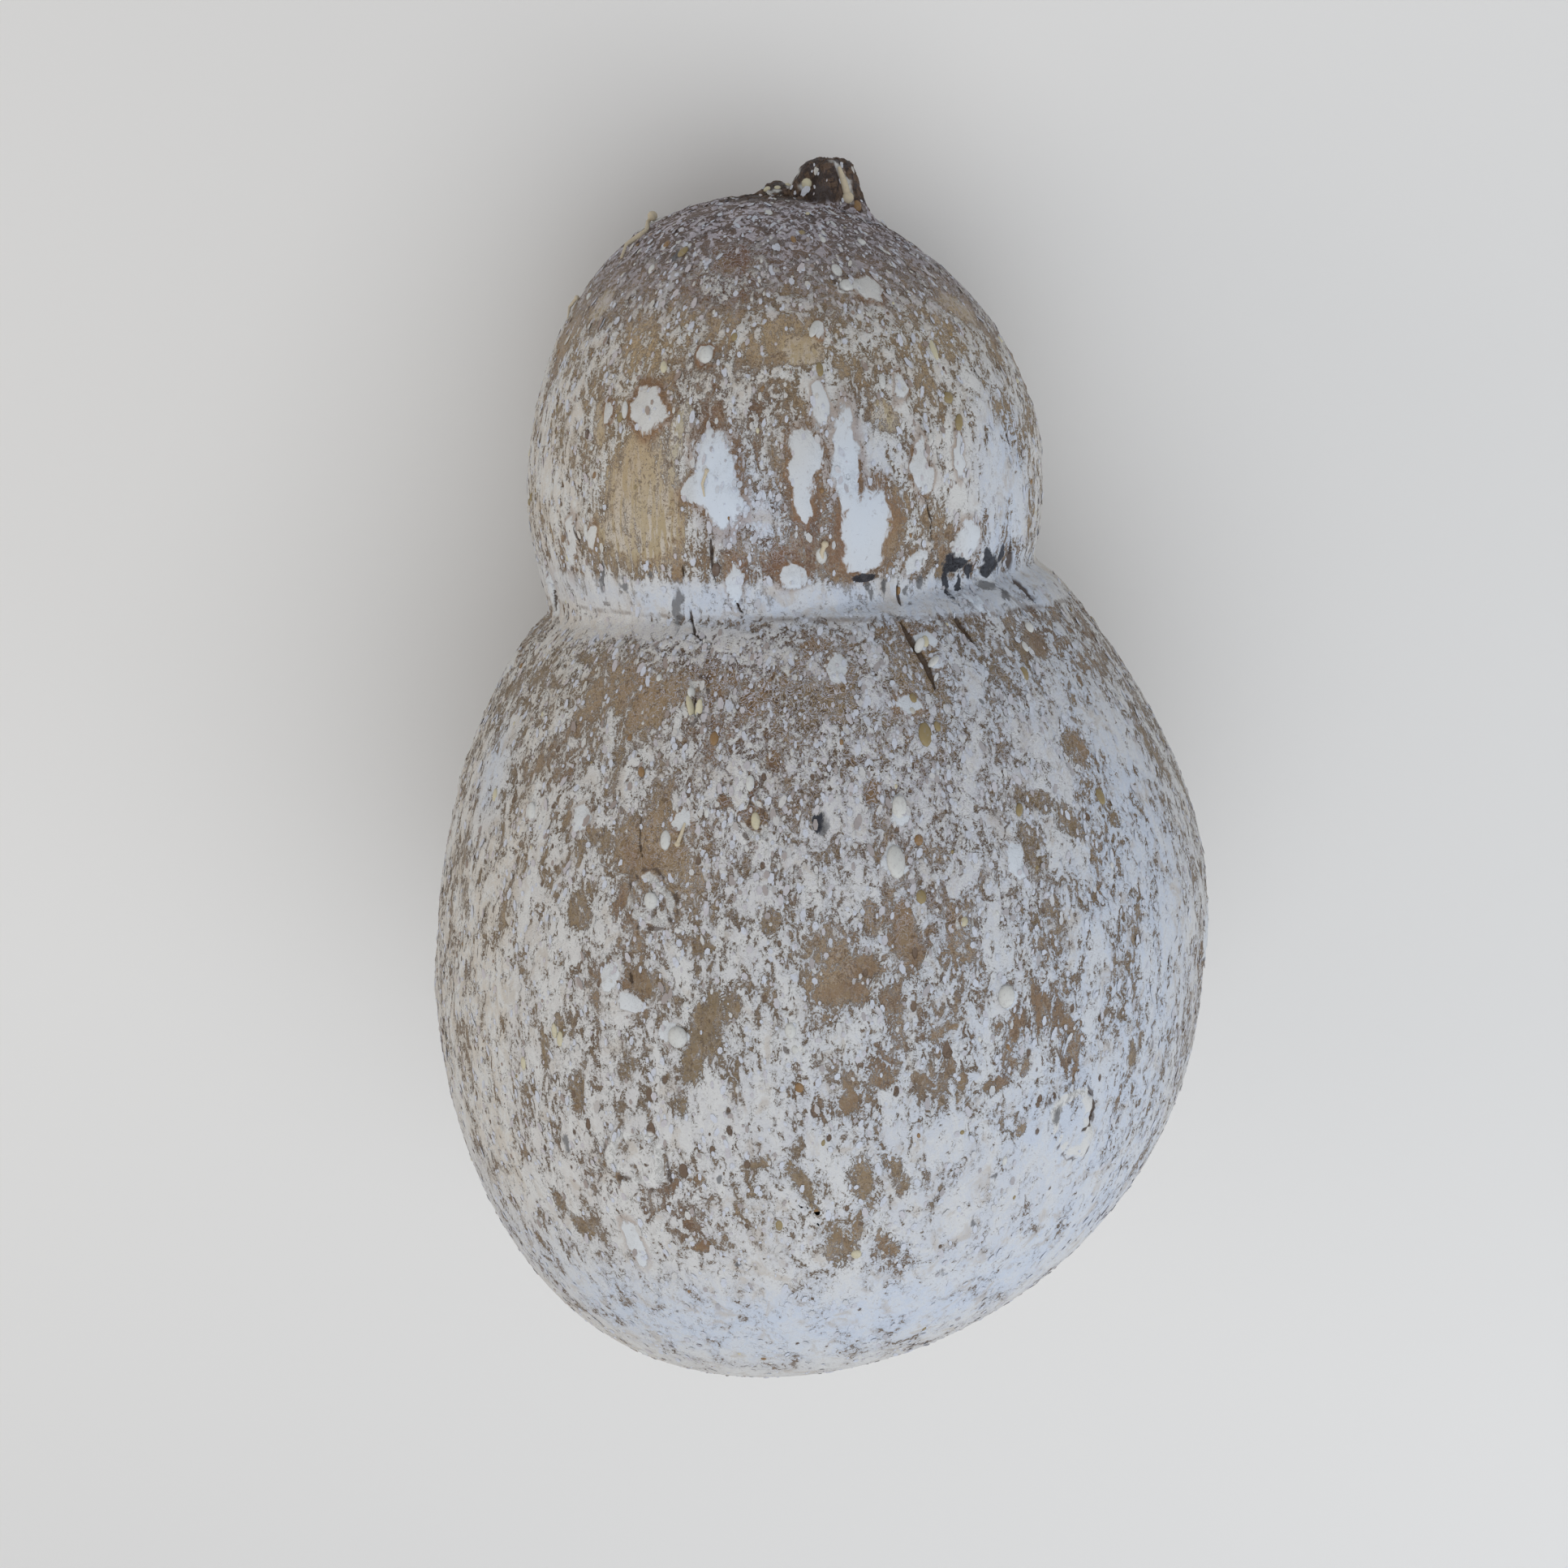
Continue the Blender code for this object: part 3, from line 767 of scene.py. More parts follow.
# %% [markdown]
# ## Helpers for Geometry Nodes
#
# Four trees shape this rind, and all of them begin and end alike: numbers with names go in, a
# plain mesh with its material comes out. Nothing may leave the box of the solid or go through
# the table, so a last step can hold the points inside it.

# %% Tree helpers
BOX_MARGIN = 0.02 * MM


def geometry_tree(name, numbers):
    """A geometry tree with one mesh in, one out, and named number inputs with their values."""
    tree = bpy.data.node_groups.new(name, "GeometryNodeTree")
    tree.interface.new_socket("Geometry", in_out="INPUT", socket_type="NodeSocketGeometry")
    tree.interface.new_socket("Geometry", in_out="OUTPUT", socket_type="NodeSocketGeometry")
    for label, value in numbers.items():
        kind = "NodeSocketInt" if isinstance(value, int) else "NodeSocketFloat"
        tree.interface.new_socket(label, in_out="INPUT", socket_type=kind)
    start = tree.nodes.new("NodeGroupInput")
    return tree, {socket.name: Wire(tree, socket) for socket in start.outputs if socket.name}


def finish_tree(sheet, mesh, material):
    """End a tree: make instances real, give them their material, and join them to the output."""
    real = sheet.node("GeometryNodeRealizeInstances", {}, {"Geometry": mesh})
    dressed = sheet.node("GeometryNodeSetMaterial", {}, {"Geometry": real, "Material": material})
    end = sheet.tree.nodes.new("NodeGroupOutput")
    sheet.tree.links.new(dressed.socket, end.inputs[0])


def grow(target, tree, numbers):
    """Run a tree on an object with the given numbers, and keep the plain mesh it makes."""
    modifier = target.modifiers.new(tree.name, "NODES")
    modifier.node_group = tree
    sockets = {item.name: item.identifier for item in tree.interface.items_tree
               if item.in_out == "INPUT"}
    for label, value in numbers.items():
        modifier[sockets[label]] = value
    plain_mesh(target)


def triangle_count(target):
    """How many triangles an object's faces make."""
    return sum(len(face.vertices) - 2 for face in target.data.polygons)


def held_in_box(sheet, mesh, spot):
    """A mesh with its points at a spot, none of them outside the box or under the table."""
    low = [value + BOX_MARGIN for value in cad_box[0][:2]] + [0.0]
    high = [value - BOX_MARGIN for value in cad_box[1]]
    held = sheet.vector("MINIMUM", sheet.vector("MAXIMUM", spot, low), high)
    return sheet.node("GeometryNodeSetPosition", {}, {"Geometry": mesh, "Position": held})


print("tree helpers ready, box margin in mm:", BOX_MARGIN / MM)

# %% [markdown]
# ## Relief
#
# The first tree lifts the skin by the thickness of its bloom and plaques and sinks it in the
# cracks. It also leaves two maps for the trees that follow: how thick the cover is, and which
# places stay clear of loose things.

# %% Relief tree
# Depths in mm
FILM_DEPTH = 0.20
PLAQUE_DEPTH = 0.36
CRACK_DEPTH = 0.4


def relief_tree(numbers):
    """The tree that gives the skin its bloom, plaques and cracks."""
    tree, given = geometry_tree("Rind relief", numbers)
    sheet = Wire(tree)
    layers = rind_layers(sheet, geometry_map)
    lift = layers["bloom"] * given["Film depth"]
    lift = lift + layers["plaque"] * given["Plaque depth"]
    lift = lift + (layers["fine"] - 0.5) * given["Film depth"] * 1.2
    lift = lift + layers["ring"] * given["Plaque depth"] * 1.4
    lift = lift - layers["crack"] * given["Crack depth"] - layers["pit"] * given["Film depth"]
    normal = sheet.node("GeometryNodeInputNormal", {}, {})
    spot = sheet.node("GeometryNodeInputPosition", {}, {})
    moved = sheet.vector("MULTIPLY_ADD", normal, lift * MM, spot)
    mesh = held_in_box(sheet, given["Geometry"], moved)
    clear = layers["window"] + layers["crack"] + layers["mould"]
    for label, value in (("cover", layers["cover"]), ("clear", clear)):
        mesh = sheet.node("GeometryNodeStoreNamedAttribute", {"data_type": "FLOAT"},
                          {"Geometry": mesh, "Name": label, "Value": value})
    finish_tree(sheet, mesh, rind_look)
    return tree


rind_look = bpy.data.materials.new("cheese rind")
relief_numbers = {"Film depth": FILM_DEPTH, "Plaque depth": PLAQUE_DEPTH, "Crack depth": CRACK_DEPTH}
grow(rind, relief_tree(relief_numbers), relief_numbers)
rind.data.polygons.foreach_set("use_smooth", [True] * len(rind.data.polygons))
print("rind triangles:", triangle_count(rind))

# %% [markdown]
# ## Paints and where they lean warm or cool
#
# The colours are named once, by the values they have on a screen. Old rinds are easily made too
# red or too yellow, so each was checked against the picture. Three more maps say where the rind
# leans to red brown, to bluish white and to tan.

# %% Paints
def paint(red, green, blue):
    """A colour from its 0 to 255 screen values."""
    screen = np.array((red, green, blue)) / 255
    linear = np.where(screen <= 0.04045, screen / 12.92, ((screen + 0.055) / 1.055) ** 2.4)
    return (*(float(value) for value in linear), 1.0)


BROWN = paint(124, 100, 74)
OLIVE_BROWN = paint(119, 103, 78)
RED_BROWN = paint(108, 78, 58)
# Dark brown of the skin, also laid as painted shade in the hollows and round the bloom
DEEP_BROWN_AND_SHADE = paint(68, 52, 44)
RUST = paint(134, 100, 70)
HONEY = paint(167, 158, 129)
PALE_HONEY = paint(193, 188, 169)
TAN = paint(173, 151, 118)
GOLD = paint(131, 112, 86)
BEIGE = paint(172, 159, 142)
FILM = paint(150, 144, 146)
IVORY = paint(208, 208, 206)
BLUE_WHITE = paint(191, 199, 212)
CREAM = paint(202, 194, 182)
PLAQUE_WHITE = paint(204, 213, 224)
PLAQUE_CREAM = paint(205, 204, 200)
DUST = paint(192, 186, 194)
# Painted shade that darkens the crown end
CROWN_PAINTED_SHADE = paint(82, 62, 57)
PIT_BROWN = paint(104, 86, 72)
WORM = paint(184, 182, 190)
CRACK_BROWN = paint(76, 60, 47)
BLACK = paint(46, 48, 56)
GREY = paint(104, 104, 106)
KNOT_DARK = paint(52, 41, 37)
KNOT_BROWN = paint(104, 84, 68)

# Pixel, half width and half height in pixels, and what the zone adds
WARM_ZONES = (
    (900, 520, 80, 90, 0.8), (1000, 655, 70, 40, 1.0), (905, 322, 36, 30, 1.6), (880, 350, 60, 30, 0.7),
    (950, 690, 80, 25, 0.8), (1165, 668, 40, 24, 0.5), (700, 700, 60, 20, 0.5), (860, 500, 30, 60, 0.7),
    (920, 960, 80, 60, 0.7), (830, 1490, 80, 60, 0.8), (860, 1575, 40, 20, 0.8), (1160, 1300, 90, 60, 0.5),
    (800, 1100, 50, 60, 0.4), (1280, 780, 40, 40, 0.5),
)
# Bluish white where these zones lie: partly the bloom's own hue, partly painted cool light on the lower
# right and the bottom
COOL_ZONES = (
    (950, 745, 320, 26, 0.8), (1060, 600, 60, 90, 0.8), (890, 590, 40, 60, 0.8),
    (1250, 1300, 400, 420, 0.75), (1240, 600, 60, 110, 1.0), (930, 640, 40, 50, 0.9),
    (610, 950, 40, 60, 0.9), (900, 1640, 400, 80, 0.8), (1330, 1370, 60, 60, 0.5),
    (1180, 830, 120, 80, 0.5), (980, 265, 140, 60, 0.8), (1400, 1050, 100, 300, 0.55),
)
TAN_ZONES = (
    (780, 520, 100, 150, 0.9), (970, 400, 170, 70, 0.9), (1170, 400, 80, 70, 0.9),
    (680, 560, 40, 160, 0.6), (760, 860, 100, 40, 0.5), (1340, 900, 60, 90, 0.6), (820, 1060, 60, 60, 0.5),
    (1080, 1200, 80, 50, 0.5), (830, 1500, 100, 60, 0.7), (1110, 870, 60, 50, 0.4),
    (660, 1100, 70, 160, 0.5), (1060, 1500, 50, 60, 0.4), (600, 1350, 60, 200, 0.5),
    (1000, 700, 120, 30, 0.6),
)
HEAD_TAN = 0.7
# Heights in mm along the cheese between which the head is tan, and how far each end fades
HEAD_SPAN = (126, 172)
HEAD_FADES = (8, 12)

keep("warm", tint_map(WARM_ZONES, 0.0))
keep("cool", tint_map(COOL_ZONES, 0.1))
head_low = np.clip((height - HEAD_SPAN[0]) / HEAD_FADES[0], 0, 1)
head_high = np.clip((HEAD_SPAN[1] - height) / HEAD_FADES[1], 0, 1)
keep("tan", np.maximum(tint_map(TAN_ZONES, 0.12), HEAD_TAN * head_low * head_high))

# %% [markdown]
# ## Colour of the skin and the bloom
#
# From the inside out: a brown skin that goes to honey where it stayed clean and to reddish brown
# where the curd is dry, a thin lilac-grey film, then dry bloom. The bloom is cream on one flank
# and bluish white low down and on the other flank, partly its own hue and partly painted cool
# light. Each colour is laid over the last by a share.

# %% Skin and bloom
def colour_layers(sheet):
    """The layers of the rind, with the noises and maps that only its colour needs."""
    layers = rind_layers(sheet, shader_map)
    for name in ("tone", "wash", "speck"):
        layers[name] = rind_noise(layers["place"], name)
    for name in ("warm", "cool", "tan", "worms", "crown_dust"):
        layers[name + " map"] = shader_map(sheet, name)
    return layers


def skin_colour(layers):
    """Brown skin with honey windows, a thin film, tan stains, darker brown and painted shade in the
    hollows, and a painted shadow line round the bloom.
    """
    broad, fine, grain, tone = (layers[name] for name in ("broad", "fine", "grain", "tone"))
    wash, cover, bare, window = (layers[name] for name in ("wash", "cover", "bare", "window"))
    warm = layers["warm map"]
    colour = blend(tone.ramp(0.4, 0.6), BROWN, OLIVE_BROWN)
    colour = colour.over(RED_BROWN, warm + (fine - 0.5) * 0.8)
    colour = colour.over(GOLD, wash.ramp(0.46, 0.62) * (bare * 0.3 + 0.35))
    colour = colour.over(blend(broad.ramp(0.42, 0.58), HONEY, PALE_HONEY), window * 0.85)
    colour = colour.over(IVORY, window * layers["streak"].ramp(0.47, 0.545) * 0.9)
    clean = (1 - bare * 0.6) * (1 - warm.ramp(0.2, 0.7) * 0.8)
    veil = wash.ramp(0.36, 0.60)
    colour = colour.over(BEIGE, cover.ramp(0.34, 0.46) * (veil * 0.72 + 0.22))
    colour = colour.over(FILM, (cover + (grain - 0.5) * 0.4).ramp(0.38, 0.52) * (veil * 0.35 + 0.25))
    colour = colour.over(TAN, layers["tan map"] * tone.ramp(0.25, 0.5) * 0.8 * clean)
    # Darker where the fine noise is low: partly dark spots of the skin, partly painted shade in the
    # hollows of the relief
    hollow_shade_and_dark_brown = (fine * 0.5 + grain * 0.5).ramp(0.48, 0.40) * (layers["worms map"] * 0.3 + 0.5)
    hollow_shade_and_dark_brown = hollow_shade_and_dark_brown + bare * layers["streak"].ramp(0.5, 0.62) * 0.2
    colour = colour.over(DEEP_BROWN_AND_SHADE, hollow_shade_and_dark_brown * cover.ramp(0.56, 0.46))
    # Painted shadow: a thin dark line round every island of bloom, where shade would fall at its edge
    rim = cover.ramp(BLOOM_EDGE - 0.08, BLOOM_EDGE - 0.02) * cover.ramp(BLOOM_EDGE + 0.03, BLOOM_EDGE)
    return colour.over(DEEP_BROWN_AND_SHADE, rim * 0.45)


def powder_colour(layers):
    """The dry bloom by itself, cream or bluish white, with grey and beige in it."""
    broad, fine, grain, cool = (layers[name] for name in ("broad", "fine", "grain", "cool map"))
    # Cream to bluish white by the cool map: partly the bloom's hue, partly painted cool light
    powder = blend(cool, CREAM, BLUE_WHITE)
    powder = powder.over(IVORY, (broad - fine).ramp(-0.12, 0.14) * (1 - cool * 0.5))
    powder = powder.over(BEIGE, layers["wash"].ramp(0.52, 0.68) * 0.45)
    return powder.over(FILM, (grain * 0.5 + fine * 0.5).ramp(0.46, 0.36) * 0.5)


def bloomed(sheet, colour, layers):
    """A skin colour with the bloom, its fine lines, the crown's dust specks over painted shade, pits and
    the band on it.
    """
    broad, fine, speck = (layers[name] for name in ("broad", "fine", "speck"))
    powder = powder_colour(layers)
    colour = colour.over(powder, layers["bloom"])
    colour = colour.over(WORM, layers["worm"] * 0.85)
    speck = (speck + (layers["tone"] - 0.5) * 0.12 + (fine - 0.5) * 0.5).ramp(0.505, 0.54)
    # Painted shade darkens the crown end, and lilac-grey dust specks lie over it; both follow the crown
    # map
    dust = layers["crown_dust map"] * (1 - layers["warm map"].ramp(0.3, 0.9) * 0.85)
    colour = colour.over(CROWN_PAINTED_SHADE, dust * 0.75)
    colour = colour.over(DUST, dust * speck * 0.95)
    colour = colour.over(PIT_BROWN, layers["pit"] * 0.9)
    colour = colour.over(powder, layers["band"] * 0.6)
    line = shader_map(sheet, "band") + (fine - 0.5) * 0.5
    line = sheet.maths("ABSOLUTE", line + 1.0).ramp(0.22, 0.05)
    colour = colour.over(CRACK_BROWN, layers["ring_edge"] * 0.75)
    colour = colour.over(IVORY, layers["ring"] * 0.9)
    return colour.over(PIT_BROWN, line * (broad.ramp(0.42, 0.58) * 0.5))


print("bloom covers the skin from", BLOOM_EDGE, "to", BLOOM_FULL)

# %% [markdown]
# ## Marks on the rind
#
# Plaques, dots, mould and cracks lie over everything else, and the knot has colours of its own.
# One last function joins the colours to the shader, and makes the bare skin a little waxy where
# the bloom is dry and dull. A bump adds what is finer than the mesh.

# %% Marks and the whole shader
def marked(sheet, colour, layers):
    """A rind colour with plaques in rusty halos, dots, mould, cracks and the knot on it."""
    broad, fine, grain = (layers[name] for name in ("broad", "fine", "grain"))
    halo = (shader_map(sheet, "plaque") + (fine - 0.5) * 0.8).ramp(-0.45, 0.0)
    colour = colour.over(RUST, halo * layers["tan map"] * 0.7)
    # Plaques go cream to bluish white by the cool map, partly painted cool light
    chalk = blend(layers["cool map"] + (broad - 0.5) * 0.6, PLAQUE_CREAM, PLAQUE_WHITE)
    chalk = chalk.over(FILM, (fine * 0.6 + grain * 0.4).ramp(0.44, 0.34) * 0.5)
    colour = colour.over(chalk, layers["plaque"] * 0.93)
    colour = colour.over(GREY, layers["dots"] * 0.85)
    colour = colour.over(BLACK, layers["mould"] * 0.95)
    colour = colour.over(CRACK_BROWN, layers["crack"] * 0.9)
    knot = shader_map(sheet, "knot")
    stub = blend((fine + (broad - 0.5)).ramp(0.44, 0.60), KNOT_DARK, KNOT_BROWN)
    colour = colour.over(stub, knot.ramp(0.0, 0.8) * 0.95)
    return colour.over(IVORY, shader_map(sheet, "knot_pale") * knot.ramp(0.1, 0.5) * 0.9)


def paint_rind(material):
    """The skin, its film, its bloom and its marks, in one shader."""
    material.use_nodes = True
    tree = material.node_tree
    shader = tree.nodes["Principled BSDF"]
    sheet = Wire(tree)
    layers = colour_layers(sheet)
    cover, plaque = layers["cover"], layers["plaque"]
    colour = marked(sheet, bloomed(sheet, skin_colour(layers), layers), layers)
    tree.links.new(colour.socket, shader.inputs["Base Color"])
    rough = sheet.maths("MAXIMUM", 0.45 + cover.ramp(0.34, BLOOM_FULL) * 0.45, plaque * 0.8)
    tree.links.new(rough.socket, shader.inputs["Roughness"])
    lift = cover.ramp(BLOOM_EDGE - 0.12, BLOOM_FULL + 0.1) * 0.5
    lift = (lift + layers["grain"] * 0.35 + layers["fine"] * 0.3) * (1 - plaque * 0.75)
    lift = lift + plaque * 0.25 - layers["crack"] * 0.6 - layers["pit"] * 0.5
    normal = sheet.node("ShaderNodeBump", {}, {"Strength": 0.85, "Distance": 0.35 * MM, "Height": lift})
    tree.links.new(normal.socket, shader.inputs["Normal"])
    shader.inputs["Specular IOR Level"].default_value = 0.35


# %% [markdown]
# ## Knot
#
# The knot at the crown is the twisted end of the curd, dried almost black, with a pale fold on
# one side and a few cream crumbs. Its maps are a height above the crown and some small patches.

# %% Knot maps and the finished rind
KNOT_PIXEL = (1008, 240)
KNOT_REACH = 14.0
KNOT_BASE_HEIGHT = 177.6
KNOT_FADE = 1.6
# Pixel, half width and half height in pixels, lean in degrees
KNOT_PALE = (
    (1040, 226, 5, 28, -16), (994, 227, 7, 6), (972, 230, 5, 5), (950, 234, 9, 4),
)

# How far each point lay from the knot before the relief moved it
knot_away = np.linalg.norm(points - by_pixel(*KNOT_PIXEL)[0], axis=1)
points = read_points(rind)
over_base = np.clip((reach_along(hung_axis) - KNOT_BASE_HEIGHT) / KNOT_FADE, 0, 1)
keep("knot", over_base * (knot_away < KNOT_REACH))
keep("knot_pale", np.clip(edge_field([pixel_patch(*patch) for patch in KNOT_PALE]) * 3, 0, 1))
paint_rind(rind_look)

# %% [markdown]
# ## Scattering small things
#
# Where the bloom is thin it sits on the skin as loose grains and curled flakes, and they are
# what makes the shoulder sparkle. One Geometry Nodes tree scatters both by the thickness map. It
# turns each lump to lie along the cheese, and gives it its own width, length and tone.

# %% Scatter tree
# Lowest and highest share of the usual width
LUMP_WIDTHS = (0.5, 1.3)


def random_number(sheet, low, high, seed):
    """A number for every point or instance."""
    inputs = {2: low, 3: high, "Seed": seed}
    return sheet.node("FunctionNodeRandomValue", {"data_type": "FLOAT"}, inputs, 1)


def scatter_turn(sheet, normal_turn, tilt):
    """The turn of a lump that lies along the cheese and nods a little about each axis."""
    turned = sheet.node("FunctionNodeAlignRotationToVector", {"axis": "Y", "pivot_axis": "Z"},
                        {"Rotation": normal_turn, "Vector": tuple(hung_axis)})
    angles = [random_number(sheet, -swing, swing, 4 + axis) for axis, swing in enumerate(tilt)]
    nod = sheet.node("ShaderNodeCombineXYZ", {}, dict(zip("XYZ", angles)))
    nod = sheet.node("FunctionNodeEulerToRotation", {}, {"Euler": nod})
    return sheet.node("FunctionNodeRotateRotation", {"rotation_space": "LOCAL"},
                      {"Rotation": turned, "Rotate By": nod})


def finish_lumps(sheet, lumps, material):
    """End a tree of small lumps, with every point of them held in the box."""
    real = sheet.node("GeometryNodeRealizeInstances", {}, {"Geometry": lumps})
    held = held_in_box(sheet, real, sheet.node("GeometryNodeInputPosition", {}, {}))
    finish_tree(sheet, held, material)


def scatter_tree(name, numbers, span, lump, stretch, thickness, tilt, material):
    """Small lumps where the cover lies in a span, none on windows, cracks and mould."""
    tree, given = geometry_tree(name, numbers)
    sheet = Wire(tree)
    cover = geometry_map(sheet, "cover")
    share = cover.ramp(span[0], span[1]) * cover.ramp(span[3], span[2])
    share = share * geometry_map(sheet, "clear").ramp(0.4, 0.0)
    share = share * (geometry_map(sheet, "worms") * 0.9 + 0.35)
    density = share * given["Number a square metre"]
    scatter = sheet.node("GeometryNodeDistributePointsOnFaces", {"distribute_method": "RANDOM"},
                         {"Mesh": given["Geometry"], "Density": density, "Seed": given["Seed"]})
    turned = scatter_turn(sheet, Wire(tree, scatter.socket.node.outputs["Rotation"]), tilt)
    width = random_number(sheet, *LUMP_WIDTHS, 1) * given["Size"]
    length = width * random_number(sheet, *stretch, 2)
    size = sheet.node("ShaderNodeCombineXYZ", {}, {"X": width, "Y": length, "Z": width * thickness})
    lumps = sheet.node("GeometryNodeInstanceOnPoints", {}, {"Points": scatter, "Instance": lump(sheet),
                       "Rotation": turned, "Scale": size})
    lumps = sheet.node("GeometryNodeStoreNamedAttribute", {"data_type": "FLOAT", "domain": "INSTANCE"},
                       {"Geometry": lumps, "Name": "tone", "Value": random_number(sheet, 0.0, 1.0, 3)})
    finish_lumps(sheet, lumps, material)
    return tree


# %% [markdown]
# ## A dry material that follows each lump's tone
#
# Grains, flakes, beads and slivers are all dry and matt, and no two have quite the same shade.
# One function makes their materials: a list of shades over the tone, a bluish-white tint
# where the rind is cool, partly painted cool light, and a fine uneven surface.

# %% Dry material
STOP_SOFTNESS = 0.01


def toned_material(name, stops, roughness, bump):
    """A dry material whose colour follows each lump's own tone, with a fine uneven surface."""
    material = bpy.data.materials.new(name)
    material.use_nodes = True
    tree = material.node_tree
    shader = tree.nodes["Principled BSDF"]
    sheet = Wire(tree)
    tone = shader_map(sheet, "tone")
    place = sheet.node("ShaderNodeTexCoord", {}, {}, "Object")
    rough = clouds(place, 0.4 * MM, 3, 0.6, 0.0)
    colour = blend(tone, stops[0][1], stops[0][1])
    for start, shade in stops[1:]:
        colour = colour.over(shade, tone.ramp(start - STOP_SOFTNESS, start + STOP_SOFTNESS))
    # Bluish white where the rind is cool: partly the bloom's hue, partly painted cool light
    colour = colour.over(BLUE_WHITE, shader_map(sheet, "cool") * 0.6)
    colour = colour.over(FILM, rough.ramp(0.5, 0.7) * 0.35)
    tree.links.new(colour.socket, shader.inputs["Base Color"])
    normal = sheet.node("ShaderNodeBump", {}, {"Strength": bump, "Distance": 0.1 * MM, "Height": rough})
    tree.links.new(normal.socket, shader.inputs["Normal"])
    shader.inputs["Roughness"].default_value = roughness
    return material


# %% [markdown]
# ## Grains and flakes of bloom
#
# A grain is a small flattened lump, half sunk. A flake is a thin six-sided scale, wider at its
# rim, that stands off the skin at a slant. There are thousands of each, so both have few faces.

# %% Grains and flakes
CM2 = 1.0e-4
GRAINS_PER_CM2 = 48.0
GRAIN_SIZE = 0.24
GRAIN_SEED = 5
GRAIN_SPAN = (0.34, 0.50, 0.60, 0.78)
FLAKES_PER_CM2 = 34.0
FLAKE_SIZE = 0.36
FLAKE_SEED = 9
FLAKE_SPAN = (0.44, 0.50, 0.60, 0.80)
FLAKE_TILT = (0.16, 0.16, 0.5)
# Where each shade starts on the scale of tones
GRAIN_TONES = ((0.0, paint(196, 198, 206)), (0.45, paint(186, 178, 178)), (0.7, paint(194, 190, 182)),
               (0.9, paint(140, 120, 104)))
KEPT_MAPS = ("position", "tone", "cool", "material_index", "sharp_face")


def grain_lump(sheet):
    """A round lump of 20 triangles."""
    return sheet.node("GeometryNodeMeshIcoSphere", {}, {"Radius": MM, "Subdivisions": 1})


def flake_lump(sheet):
    """A thin scale, wider at its upper rim, of 20 triangles."""
    size = {"Vertices": 6, "Radius Top": 1.0 * MM, "Radius Bottom": 0.55 * MM, "Depth": 0.4 * MM}
    return sheet.node("GeometryNodeMeshCone", {"fill_type": "NGON"}, size)


def scattered(name, source, tree, numbers, material):
    """A piece of its own, grown by a tree from a copy of another object's mesh."""
    piece = add_object(name, source.data.copy())
    grow(piece, tree, numbers)
    for label in [layer.name for layer in piece.data.attributes]:
        if not label.startswith(".") and label not in KEPT_MAPS:
            piece.data.attributes.remove(piece.data.attributes[label])
    piece.data.polygons.foreach_set("material_index", [0] * len(piece.data.polygons))
    piece.data.materials.clear()
    piece.data.materials.append(material)
    print(name, "triangles:", triangle_count(piece))
    return piece


grain_look = toned_material("bloom grain", GRAIN_TONES, 0.95, 0.4)
grain_numbers = {"Number a square metre": GRAINS_PER_CM2 / CM2, "Size": GRAIN_SIZE, "Seed": GRAIN_SEED}
grain_tree = scatter_tree("Bloom grains", grain_numbers, GRAIN_SPAN, grain_lump, (1.0, 2.4), 0.55,
                          (0.0, 0.0, 0.0), grain_look)
grains = scattered("bloom_grains", rind, grain_tree, grain_numbers, grain_look)
flake_numbers = {"Number a square metre": FLAKES_PER_CM2 / CM2, "Size": FLAKE_SIZE, "Seed": FLAKE_SEED}
flake_tree = scatter_tree("Bloom flakes", flake_numbers, FLAKE_SPAN, flake_lump, (1.0, 2.6), 0.5,
                          FLAKE_TILT, grain_look)
flakes = scattered("bloom_flakes", rind, flake_tree, flake_numbers, grain_look)

# %% [markdown]
# ## Beads of fat
#
# As the cheese sweats, drops of fat rise through the rind and dry there as smooth beads, cream,
# olive or orange. The large ones are placed by the picture. Small ones are drawn at random, many
# round the crown and few on the belly.

